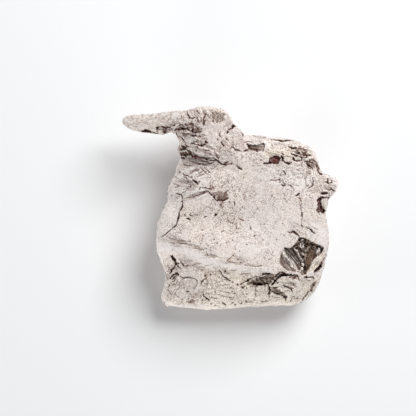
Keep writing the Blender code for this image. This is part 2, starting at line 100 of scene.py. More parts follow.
# Cracks of the skin: half width and depth in millimetres, darkness, points; their darkness is partly painted
# shade in their depths
CRACKS = [
    # the long curved crack on the left, and its branch
    (0.18, 0.5, 0.6, [176, 193, 179, 194.4, 181.6, 194.8]),
    (0.2, 0.8, 0.95, [181.7, 194.6, 182.4, 199, 182.7, 204, 182, 207.6, 180.8, 210, 179, 213, 178.6, 218,
     177.8, 222, 176, 225.4, 172, 229, 168.6, 231.6, 165.4, 234.6, 162.6, 236.2, 161, 236.6]),
    (0.18, 0.4, 0.6, [178.8, 213, 180, 216]),
    # the fold over the neck crevice
    (0.3, 1.0, 0.7, [185.5, 149, 188, 151.2, 190.6, 152.4, 192.6, 155.2]),
    (0.26, 1.0, 0.45, [192.6, 155.2, 195.4, 156, 199, 157.2, 203, 158.4]),
    (0.24, 1.0, 0.75, [202, 158.4, 206, 160, 210, 161, 214, 161.2, 217, 160.6]),
    (0.3, 1.1, 0.95, [214.6, 160.8, 217, 160.8, 218.6, 162.2, 220.2, 164, 221.6, 165]),
    (0.2, 0.7, 0.9, [221, 164.8, 225, 165.3, 229, 165, 231.4, 164.6]),
    (0.22, 0.5, 0.8, [224.6, 163.7, 226.6, 162.9, 228.4, 162.4]),
    (0.25, 0.6, 0.9, [236.2, 167, 239, 168.9, 241.8, 170.7]),
    # outlines of the slots at the crevice's left end
    (0.16, 0.3, 0.8, [179, 146.2, 182, 146, 184.6, 147, 186.8, 149.2, 188.4, 151]),
    (0.18, 0.3, 0.9, [176, 150.3, 180, 150.4, 186, 150.2]),
    (0.18, 0.3, 0.9, [177, 155.6, 184, 155.5, 189, 155, 193, 156.2]),
    # lenses in the shaded ground under the fold
    (0.2, 0.5, 0.55, [193, 162.6, 197, 163.9, 201, 164.5, 206, 164.6, 211, 164, 214, 162.6]),
    (0.18, 0.4, 0.5, [201.4, 162, 204, 161.4, 207, 161.8, 209, 162.8]),
    (0.2, 0.4, 0.6, [184, 164.6, 188, 166.8, 191.6, 166]),
    # the arm
    (0.2, 0.5, 0.8, [152.6, 132.4, 155, 133.5, 157, 134.5, 159.4, 134.8]),
    (0.28, 0.6, 0.9, [157.7, 131.8, 157.2, 130, 158, 128.4, 160, 127.3, 162.4, 127.3, 164.6, 128.1,
     168, 128.5, 171, 128.5, 172.8, 129.7]),
    (0.2, 0.4, 0.6, [158.6, 131.4, 160.4, 129.6, 163, 129.9, 164.6, 131]),
    (0.4, 0.9, 1.0, [163.4, 132.3, 165.2, 132.1]),
    (0.35, 0.9, 1.0, [166.1, 129.9, 165.8, 132.6, 165.2, 134.8]),
    (0.28, 0.6, 0.9, [174.6, 131.2, 177.4, 129.9, 180.6, 130.4, 184, 129.4, 187.4, 129.6]),
    (0.22, 0.5, 0.8, [173, 127, 175.4, 125.9]),
    (0.25, 0.5, 0.9, [180, 126, 182, 125.3, 183.6, 127]),
    (0.3, 0.7, 0.9, [187.6, 130.8, 190.4, 132, 193, 133.2, 196.4, 133.8, 199.2, 134.3, 201.6, 132.8]),
    (0.22, 0.4, 0.7, [191, 127.6, 193.4, 130, 193, 132.4]),
    (0.22, 0.4, 0.7, [196.2, 127.8, 198, 130, 198.4, 133]),
    (0.22, 0.5, 0.8, [176.2, 133.4, 177.6, 136, 179, 138.6]),
    # wrinkles on the neck's lobe
    (0.24, 0.5, 0.8, [187.4, 112.8, 187.8, 115.2, 189, 117.4, 190.6, 119.4, 192.6, 120, 195, 119.2]),
    (0.18, 0.3, 0.5, [192, 110.6, 194.6, 113, 195, 116]),
    (0.24, 0.45, 0.7, [195.8, 111.2, 198, 113, 199.7, 115.2]),
    (0.2, 0.35, 0.6, [197, 117.6, 198, 120, 197.4, 121.6]),
    (0.2, 0.35, 0.6, [197.6, 121.4, 199, 123.8, 200.2, 125.8]),
    (0.18, 0.3, 0.5, [200, 115, 201.6, 119.6, 201, 123]),
    (0.3, 0.7, 0.9, [206.2, 115.4, 205, 116.6, 204.2, 119.4, 203.7, 122.6, 203.4, 125.4, 203.5, 127.8]),
    (0.2, 0.4, 0.5, [207.6, 115.6, 208.4, 117.4]),
    (0.5, 1.8, 1.0, [234.6, 125.8, 233.4, 127, 232.2, 128.6, 231, 129.8]),
    (0.24, 0.8, 0.9, [231.6, 129.4, 229.6, 130.5, 228, 131.2]),
    (0.24, 0.5, 0.7, [228, 131.4, 227, 133.2, 226.2, 135.2]),
    (0.3, 0.6, 0.9, [239.4, 128, 240.6, 130, 241.6, 132.4, 242.6, 134.6, 243, 136]),
    (0.2, 0.4, 0.5, [220.6, 130.4, 219.6, 134, 219.3, 137, 221.2, 138.8]),
    (0.26, 0.6, 0.9, [221.6, 142.4, 221, 143.8, 222.2, 145.4, 223.8, 148]),
    (0.2, 0.4, 0.6, [225, 139, 227.2, 141.2]),
    (0.24, 0.45, 0.8, [229.8, 149.8, 232.4, 148.2, 234.4, 150.1, 237, 151.3, 240.6, 152.1, 243.4, 152.6]),
    (0.28, 0.6, 0.9, [191.8, 136.8, 194, 137.6, 195.6, 136.8, 197.2, 137.7, 198.8, 137.1, 200.8, 137.6]),
    (0.22, 0.6, 0.9, [191, 144.6, 193.2, 144.1, 196.2, 145.4, 199, 146.3, 202.2, 146.6, 204.4, 146,
     205.2, 144.4, 204.8, 143]),
    (0.2, 0.4, 0.7, [193.6, 142.6, 197, 142.7, 197.7, 144.2]),
    (0.24, 0.5, 0.8, [204.4, 142.7, 206.2, 143.6, 208.8, 144.7]),
    (0.28, 0.6, 0.9, [180, 136.8, 182, 139, 184.8, 141.8]),
    (0.2, 0.4, 0.5, [183, 135.5, 186.4, 137, 190.2, 138.6]),
    (0.2, 0.4, 0.5, [182, 133.4, 187, 134.6, 191, 134.4]),
    (0.2, 0.4, 0.6, [185.4, 145.2, 187.6, 147.4, 189.4, 147]),
    (0.18, 0.3, 0.5, [193.4, 148, 197, 147.6, 199.6, 150]),
    (0.25, 0.5, 0.8, [203.8, 150.2, 206, 151.5, 208.2, 151.2, 210, 152.2]),
    (0.2, 0.4, 0.6, [209.8, 153.8, 212.4, 157]),
    (0.24, 0.4, 0.7, [216, 156.3, 217.6, 157.6, 218.6, 159]),
    (0.18, 0.3, 0.5, [213.6, 152, 216, 155, 219, 157]),
    (0.18, 0.3, 0.4, [215.4, 145, 217, 148.6]),
    (0.18, 0.3, 0.4, [241.2, 155.6, 241.4, 160]),
    # the shelf at the upper right
    (0.24, 0.5, 0.7, [257.6, 136.6, 260, 136.9, 262.4, 137.5, 265.4, 138.2]),
    (0.3, 0.7, 1.0, [270.4, 139.9, 273, 140.6, 278, 141.2, 281.6, 141.7, 285.4, 141.3, 289.8, 140.4,
     291.2, 139.8, 293.2, 140.7, 295.6, 141.8]),
    (0.22, 0.5, 0.6, [244, 143.6, 247, 142.5, 253, 142.9]),
    (0.22, 0.5, 0.7, [243.4, 151.4, 246.4, 151.2, 248, 150]),
    (0.28, 0.7, 0.8, [287, 147.3, 289.2, 148.4, 291.4, 149, 294, 148.5, 296.4, 148.4]),
    (0.22, 0.5, 0.6, [297.4, 147.4, 300, 147]),
    (0.3, 0.5, 0.9, [294, 152.8, 296, 153.8, 298.4, 154.9, 301, 155.4, 304, 156, 307, 156.2, 309.6, 156]),
    (0.26, 0.5, 0.8, [289.8, 154.9, 292, 155.6, 294.4, 156.4, 297, 157, 299.4, 157.8, 303, 158.2,
     306, 158.3]),
    (0.3, 0.6, 1.0, [291.3, 157.8, 292, 159.8, 292.8, 161.4]),
    (0.24, 0.6, 0.8, [292.8, 161.4, 296.6, 161.8, 300, 160.8]),
    (0.26, 0.6, 0.9, [300, 161, 300.5, 159.2, 299.4, 158]),
    (0.3, 0.7, 1.0, [280.4, 157, 281.4, 158.4, 281, 160, 281.4, 161.8]),
    (0.22, 0.5, 0.6, [282, 157.6, 285, 157.4, 288, 157.8, 291, 158.4]),
    (0.22, 0.4, 0.6, [307.8, 162.4, 309.6, 163.4, 312.6, 163.6, 314, 165.4]),
    (0.32, 0.8, 1.0, [263.2, 164.6, 266, 164, 268.4, 163.2]),
    (0.26, 0.6, 0.9, [279.6, 161.8, 282, 162.1, 284.6, 163.5, 287.4, 164.6, 289.2, 163.6, 290.6, 162.6]),
    (0.22, 0.5, 0.7, [280.8, 154.8, 284, 156.5, 286.4, 156.5]),
    (0.24, 0.5, 0.8, [303.8, 162.8, 308, 161.7, 311, 160.2, 313.6, 161, 316, 163]),
    (0.34, 0.9, 1.0, [305.2, 164.2, 307.6, 166, 309.6, 167.4, 311.8, 168.6]),
    (0.36, 0.9, 1.0, [315.6, 163.6, 315.9, 166, 316.4, 168.6, 318.6, 168.9]),
    (0.34, 0.9, 1.0, [316.4, 170.2, 317.8, 172.6, 319.4, 174.3, 321.6, 174.2, 323.4, 173.4]),
    (0.22, 0.4, 0.6, [281.8, 171.2, 283.5, 173, 284, 175.4]),
    (0.2, 0.4, 0.5, [269, 180.6, 274, 181, 277.6, 180]),
    (0.24, 0.5, 0.8, [280.2, 184.6, 282, 186.1, 284.2, 185.7]),
    (0.2, 0.4, 0.5, [281.4, 183, 284.6, 184.4, 287, 185, 290, 186.6, 293.4, 189.6]),
    (0.2, 0.4, 0.6, [303.4, 184.4, 306, 186.6, 308, 188.4, 310.2, 187, 311.6, 184.6, 312, 181.4,
     311.3, 178]),
    (0.18, 0.3, 0.4, [304.4, 184, 304.6, 179, 305, 175.8]),
    (0.28, 0.6, 0.9, [295.2, 196.2, 296.6, 195, 298.2, 193.4]),
    (0.18, 0.3, 0.5, [297.4, 197.4, 299.6, 200.6]),
    (0.2, 0.4, 0.6, [300, 200, 299.6, 207.4, 300.4, 212, 300.6, 217, 300, 222, 301, 228]),
    # the knob on the right and the recess under it
    (0.26, 0.5, 0.8, [326.4, 178, 326.8, 180.4, 325.8, 182.2, 324, 182.4]),
    (0.26, 0.5, 0.8, [325.8, 182.2, 327.2, 184.2, 328.6, 185]),
    (0.24, 0.5, 0.7, [329, 183.6, 330.6, 182, 330.8, 180.6]),
    (0.24, 0.5, 0.8, [325.6, 189.8, 328.2, 190, 330, 189.3, 332, 190.5, 334.4, 191.2]),
    (0.4, 0.9, 1.0, [320.2, 193.5, 323, 193.8, 325.4, 193.2]),
    (0.34, 0.8, 0.9, [319, 197.4, 321.4, 197.2, 324, 198, 327, 198, 329, 198.6]),
    (0.24, 0.5, 0.7, [315.4, 209.6, 317, 212, 318.6, 214.6]),
    # cracks that run into the pocket
    (0.24, 0.6, 0.8, [286, 231.6, 288.6, 232.4, 291.6, 231.6, 293.6, 232.6, 296, 233.8, 297.4, 235.6,
     298.6, 237.6]),
    (0.24, 0.6, 0.8, [304.4, 226.6, 307.2, 228, 309.6, 229.6, 311, 231.4, 313.4, 233.2]),
    (0.18, 0.5, 0.5, [320.4, 264.4, 321.8, 261.4, 323.2, 259.4, 325.2, 257.2]),
    (0.18, 0.4, 0.5, [315.6, 261.8, 314.2, 265, 313.6, 268]),
    (0.4, 1.0, 1.0, [303.8, 276.6, 305.6, 277, 307.8, 276.9]),
    (0.24, 0.8, 0.9, [307.4, 276.9, 310, 276.6, 312.6, 276.6, 313.4, 278.6]),
    (0.3, 0.7, 0.9, [296.6, 274.8, 297.6, 276.8, 298.4, 279.6]),
    (0.18, 0.3, 0.5, [305, 278.4, 306.8, 280.6, 309.4, 280.8, 311, 279]),
    # over the cave, and the block under it
    (0.22, 0.5, 0.5, [240, 274, 243.6, 272.8, 247, 272.4, 250.4, 272.4]),
    (0.28, 0.8, 0.9, [240, 283.4, 242, 283, 244.6, 281.4, 247, 279.8, 250, 278]),
    (0.26, 0.7, 0.8, [255, 275.6, 258, 275.5, 260.4, 274.4, 262.6, 272.9, 265.6, 272.6, 268.4, 273,
     272, 273.5, 276, 273.8]),
    (0.4, 1.2, 0.9, [276.4, 273.8, 278.4, 272.8, 280.6, 271.8, 283, 271.8]),
    (0.2, 0.5, 0.5, [270.4, 287, 274, 287.4, 278.4, 286.6]),
    (0.2, 0.4, 0.6, [275.8, 282.6, 278, 281.4]),
    (0.32, 0.6, 0.7, [283.2, 284.6, 286, 286, 289, 287.5, 291, 289, 292.2, 290.8]),
    (0.2, 0.4, 0.4, [289, 286, 293.6, 288.6]),
    (0.2, 0.4, 0.4, [280, 281, 286, 283, 292, 284.5, 295.4, 285]),
    (0.28, 0.8, 1.0, [273.6, 292.6, 277.6, 293.9, 281, 295, 283.6, 296, 285.4, 297.2, 286, 298.8,
     285.8, 300.6]),
    (0.2, 0.5, 0.6, [270.6, 289.2, 275, 289.4, 279, 290.6, 282, 292.2]),
    (0.22, 0.4, 0.6, [269, 286.6, 273, 287.4, 277.4, 287]),
    (0.2, 0.4, 0.4, [287.4, 281.6, 291, 282.6, 294.6, 284]),
    (0.34, 0.8, 1.0, [269.2, 291.8, 269, 294.8]),
    (0.2, 0.4, 0.4, [269, 294.8, 269.6, 298.4]),
    (0.24, 0.6, 0.8, [311.4, 290.2, 309, 291.5, 308, 292.6, 307, 294.6, 305.4, 296.6, 304, 298.2,
     303.4, 300, 303.6, 302]),
    (0.18, 0.3, 0.4, [246, 285, 246.2, 290]),
    (0.18, 0.3, 0.5, [255, 286, 255.4, 290, 255.5, 296.6]),
    (0.28, 0.5, 0.8, [246, 300.8, 247.8, 302.6]),
    (0.26, 0.5, 0.8, [261.4, 301.6, 263.4, 302.4, 266, 301.3, 269, 301.3]),
    (0.24, 0.4, 0.7, [241.4, 286, 242.4, 287.4, 244.6, 285.6]),
    (0.2, 0.4, 0.5, [290, 302, 291.6, 300, 292.6, 297.6]),
    # the ridge and the folds above it
    (0.2, 0.3, 0.4, [204, 254.9, 207.4, 254.4]),
    (0.2, 0.3, 0.35, [208, 255, 212, 254.4, 216.4, 254.6]),
    (0.2, 0.3, 0.3, [208, 256.8, 213, 256.4, 218, 256.2]),
    (0.22, 0.35, 0.45, [226, 260.4, 229, 258, 231, 256, 233.2, 254.2]),
    (0.22, 0.35, 0.45, [233, 254.6, 236, 256.6, 238.8, 259.4]),
    (0.2, 0.3, 0.4, [228, 260.8, 234, 261.8, 240, 262.2]),
    (0.2, 0.35, 0.4, [243, 263.8, 248, 264.8, 255, 265.4, 261, 265]),
    (0.24, 0.35, 0.35, [167, 236.6, 172, 238, 176.4, 240, 181, 240.8, 184.6, 241, 191, 241]),
    (0.26, 0.35, 0.35, [177, 242.4, 182, 243.2, 188, 243.6, 194, 245.2, 198.4, 246]),
    (0.2, 0.35, 0.3, [186, 246.8, 193, 247.6, 200, 249, 207.6, 248.6]),
    (0.18, 0.3, 0.35, [203, 235, 202, 239.4]),
    # the lower left
    (0.3, 0.9, 0.85, [175.6, 265, 174.2, 267.2, 172.4, 269.2, 171.2, 271.2, 169.6, 273.8]),
    (0.26, 0.7, 0.9, [174.2, 274, 172.2, 276.4, 170.2, 278.8]),
    (0.26, 0.7, 0.9, [175.4, 276, 172.8, 279.4]),
    (0.2, 0.5, 0.45, [179, 275, 182, 277, 184.4, 278, 188, 277.4, 192, 277.4, 195, 278.4, 196.7, 280.4,
     197, 283.4, 196.2, 286.4, 193.6, 288.8]),
    (0.22, 0.5, 0.7, [180.4, 260.8, 182.2, 262.6, 184.4, 265.4]),
    (0.22, 0.5, 0.6, [177.4, 264.8, 180, 267.4]),
    (0.18, 0.4, 0.5, [178.4, 284.8, 180.6, 281.2, 183, 278.8]),
    (0.18, 0.4, 0.5, [170.6, 283, 174, 281, 177, 277]),
    (0.18, 0.4, 0.4, [171, 286, 176, 283.6, 178, 279.6]),
    (0.18, 0.4, 0.5, [167.6, 289, 169, 291, 170.4, 293.6]),
    (0.2, 0.4, 0.5, [174.2, 295.4, 176.2, 292.2]),
    (0.2, 0.4, 0.5, [185.8, 291.5, 189.4, 291.3]),
    (0.2, 0.4, 0.5, [168.4, 287.6, 170, 284]),
    # the middle of the lower band
    (0.34, 0.9, 1.0, [204.4, 273.8, 205.3, 275.4, 206.1, 276.9]),
    (0.26, 0.6, 0.7, [206.4, 277.4, 204.4, 278.8, 203, 280, 202, 282, 200.8, 284.4]),
    (0.2, 0.4, 0.5, [206.6, 279, 208.2, 281, 208.2, 282.6, 206.8, 284.6]),
    (0.2, 0.5, 0.7, [218.8, 269.4, 220.6, 271, 221.4, 273.2, 222.4, 275, 224, 275.9, 226, 277, 228, 278.6,
     230.2, 280.4]),
    (0.22, 0.4, 0.6, [225.6, 268.6, 224.8, 270.2, 223.8, 271.6]),
    (0.16, 0.2, 0.3, [221.6, 279.2, 225, 278.8, 230, 279.6]),
    (0.16, 0.2, 0.2, [214.6, 286, 220, 285.6, 224, 284.6, 230, 283.6]),
    (0.2, 0.3, 0.35, [218.2, 290.6, 220.6, 291, 223, 291.1, 226, 291.8, 229.4, 292.6]),
    (0.26, 0.6, 0.8, [203.4, 291.6, 203.2, 295, 204.4, 297.4]),
    (0.34, 0.8, 1.0, [204.6, 297.6, 206.4, 298.5, 208.4, 299.6]),
    (0.2, 0.3, 0.4, [208.8, 298.2, 213, 297.9, 217.4, 298.3]),
    (0.24, 0.4, 0.6, [222.2, 302.8, 224.4, 304.2, 226, 305.6]),
    (0.26, 0.4, 0.7, [230.6, 304.8, 232, 303.4, 233.4, 303.2]),
    (0.2, 0.4, 0.6, [240.6, 305, 242.4, 303]),
    # the fan of folds between the neck and the table
    (0.22, 0.4, 0.6, [183, 174, 186, 175.4, 189, 176.8, 191.6, 178, 192.6, 179.4]),
    (0.22, 0.4, 0.6, [183.6, 176.8, 187, 178.5, 190.2, 180]),
    (0.28, 0.6, 0.9, [193, 180.2, 195, 181.5, 196.4, 183, 198, 184.4]),
    (0.24, 0.4, 0.6, [185.4, 182.8, 188, 181.3, 192.4, 181]),
    (0.22, 0.4, 0.4, [183.6, 189.8, 187, 189, 191, 187.6]),
    (0.26, 0.5, 0.8, [199, 189.4, 200.4, 187.9, 203, 188, 205, 187.8, 207, 189, 209.2, 189.3]),
    (0.26, 0.4, 0.5, [192.6, 197.2, 195, 196.5, 198, 195.7, 201, 194.5, 204, 193.3, 207, 192,
     208.6, 191.4]),
    (0.2, 0.4, 0.4, [185, 198.8, 189, 198, 193, 197.2]),
    (0.3, 0.6, 0.9, [208.6, 191.4, 209.6, 193.6, 211.4, 195, 213, 195.5, 214, 198, 215, 199.6]),
    (0.3, 0.5, 1.3, [213.8, 197.8, 215, 199.4, 217, 200.4, 219, 200.2, 221.6, 200.8, 224.4, 200.6,
     226, 199.4, 228, 198]),
    (0.2, 0.3, 0.6, [212, 192, 213.4, 194.4, 215.2, 196.6]),
    (0.24, 0.5, 0.8, [213.2, 194.2, 215, 193.5, 216.4, 192.8]),
    (0.2, 0.3, 0.5, [211, 200.6, 213, 200.1, 215, 199.6]),
    (0.2, 0.3, 0.35, [201, 169, 204, 172, 207.4, 175.4]),
    (0.2, 0.3, 0.35, [204.6, 168, 208, 171.6, 210.4, 174]),
    (0.2, 0.3, 0.35, [196, 175.4, 200, 173.4, 204.6, 170.4]),
    (0.2, 0.3, 0.3, [190, 173.4, 196, 171.6, 202, 168.2]),
    (0.2, 0.3, 0.3, [226.4, 179.6, 228.2, 183.6]),
    (0.24, 0.4, 0.8, [234, 201.6, 234.4, 205.4]),
    # short marks on the table
    (0.2, 0.3, 0.8, [183.6, 214.4, 186, 215.6]),
    (0.2, 0.3, 0.8, [187, 218.2, 190.6, 219]),
    (0.22, 0.3, 0.9, [189.6, 214.6, 192, 216.4]),
    (0.22, 0.3, 0.9, [214.4, 215.6, 217.6, 213.8]),
    (0.2, 0.3, 0.8, [204, 217.6, 206.4, 216.2]),
    (0.2, 0.3, 0.8, [229.6, 222, 232.4, 223.4]),
    (0.22, 0.3, 0.8, [238, 217.4, 240.4, 219.6, 243.4, 220.4]),
    (0.2, 0.3, 0.7, [250, 226.4, 250.6, 230]),
    (0.2, 0.3, 0.8, [253, 236.4, 255.4, 234.2]),
    (0.2, 0.3, 0.6, [257, 209, 259.6, 211]),
    (0.2, 0.3, 0.6, [221, 231.4, 223.8, 230.6]),
    (0.2, 0.3, 0.6, [244.6, 243.4, 247, 244.6]),
]

# Dots: column, row, radius in millimetres, darkness
DOTS = [
    # the arm
    (132, 117, 0.45, 0.35), (136.3, 127.6, 0.35, 0.6), (143, 117.5, 0.4, 0.4), (151.3, 116.6, 0.35, 0.35),
    (156.5, 118.4, 0.35, 0.6), (159, 115.4, 0.35, 0.6), (168.5, 124, 0.3, 0.4), (171.3, 116.4, 0.3, 0.3),
    (178, 120, 0.4, 0.5), (170.3, 130.3, 0.35, 0.8), (182, 118.4, 0.4, 0.5), (142, 121.4, 0.4, 0.3),
    # the neck
    (217.5, 140.6, 0.42, 1.0), (202.2, 136.2, 0.3, 0.6), (196.2, 151.6, 0.3, 0.5),
    (231.2, 164.6, 0.45, 1.0), (205.6, 115.5, 0.35, 0.8), (212.6, 114.6, 0.35, 0.7), (216.4, 115, 0.3, 0.5),
    (213.2, 119.2, 0.35, 0.7), (217, 119.6, 0.35, 0.7), (220, 120.2, 0.3, 0.6), (222.6, 121.6, 0.35, 0.7),
    (213.2, 122.6, 0.4, 0.8), (217, 123.4, 0.4, 0.8), (220, 123, 0.3, 0.6), (227, 127, 0.35, 0.4),
    (232, 163, 0.25, 0.5),
    # the shelf
    (262.4, 152, 0.35, 0.7), (267, 151, 0.3, 0.5), (284.6, 153.4, 0.35, 0.5), (260, 160.5, 0.4, 1.0),
    (247, 166.6, 0.3, 0.4), (252.6, 166.4, 0.4, 0.35), (259.4, 166.4, 0.35, 0.4), (261.6, 169.4, 0.35, 0.4),
    (290, 163.1, 0.3, 0.8), (292.8, 161.2, 0.3, 0.8), (308.6, 174, 0.35, 0.8), (278.4, 180, 0.4, 0.8),
    (278.8, 182.3, 0.4, 0.8), (305, 195, 0.3, 0.5), (305.4, 199.6, 0.3, 0.5), (296, 152, 0.3, 0.6),
    # the table
    (180, 172.2, 0.42, 0.9), (199.4, 182, 0.38, 0.9), (190.8, 187, 0.42, 0.7), (171.8, 196, 0.42, 0.6),
    (229, 202, 0.35, 0.9), (242, 207, 0.3, 0.7), (240, 209.5, 0.3, 0.7), (197, 215, 0.38, 0.8),
    (185, 215, 0.38, 0.8), (205.5, 217, 0.3, 0.8), (212, 211, 0.35, 0.5), (216, 215, 0.3, 0.6),
    (190, 219.5, 0.3, 0.7), (202, 229.6, 0.38, 0.8), (214, 239, 0.36, 0.8), (232.5, 239.5, 0.3, 0.8),
    (226, 242, 0.3, 0.6), (235, 249, 0.3, 0.7), (239, 250.5, 0.3, 0.7), (263, 224, 0.35, 0.8),
    (281.5, 223.5, 0.35, 0.8), (262.5, 239.5, 0.3, 0.8), (276, 239, 0.35, 0.8), (254, 236, 0.3, 0.6),
    (268, 243.5, 0.25, 0.7), (268, 258.5, 0.25, 0.7), (207.4, 254.2, 0.34, 0.7), (232.7, 254.2, 0.3, 0.5),
    (240.4, 262, 0.35, 0.6), (283, 235, 0.35, 0.35), (172.6, 249.5, 0.35, 0.5), (180.5, 232, 0.35, 0.3),
    # the lower band
    (187.2, 265, 0.42, 1.0), (186.7, 271.3, 0.3, 0.6), (181, 268.2, 0.35, 0.8), (202.3, 269.4, 0.4, 0.9),
    (210.7, 273.8, 0.42, 1.0), (202.4, 300.4, 0.38, 0.8), (211.4, 304, 0.38, 0.7),
    (215.5, 306.1, 0.36, 0.7), (219.5, 303.4, 0.36, 0.8), (235.5, 305.6, 0.4, 0.9), (215.4, 292, 0.4, 0.8),
    (234.5, 293, 0.34, 0.8), (230.8, 287.6, 0.42, 0.8), (232.6, 281.5, 0.38, 0.7), (237.4, 283.7, 0.4, 0.8),
    (219, 276.6, 0.36, 0.5), (219, 281.4, 0.36, 0.5), (225, 284, 0.3, 0.5), (205.5, 293.5, 0.3, 0.4),
    (222, 296.5, 0.3, 0.35), (239.5, 290, 0.3, 0.35), (240, 297, 0.3, 0.35), (170.8, 297.5, 0.32, 0.6),
    (173.6, 297.5, 0.32, 0.6), (178, 297, 0.3, 0.5), (182, 299.5, 0.36, 0.7), (181.5, 302, 0.32, 0.6),
    (242, 286.4, 0.36, 0.8), (244.3, 285.7, 0.36, 0.9), (254.5, 299.6, 0.34, 0.7), (247, 294, 0.36, 0.6),
    (243.5, 294, 0.34, 0.4), (257.5, 290.5, 0.34, 0.3), (248.5, 299.4, 0.36, 0.7), (262.6, 302, 0.38, 0.8),
    (266, 301.2, 0.32, 0.7), (294.2, 296.6, 0.38, 0.7), (298, 298.6, 0.38, 0.6), (295, 298.4, 0.32, 0.5),
    (299.6, 291, 0.38, 0.4), (288, 303, 0.3, 0.5), (313, 284.6, 0.42, 0.8), (311.4, 290.2, 0.42, 0.9),
]

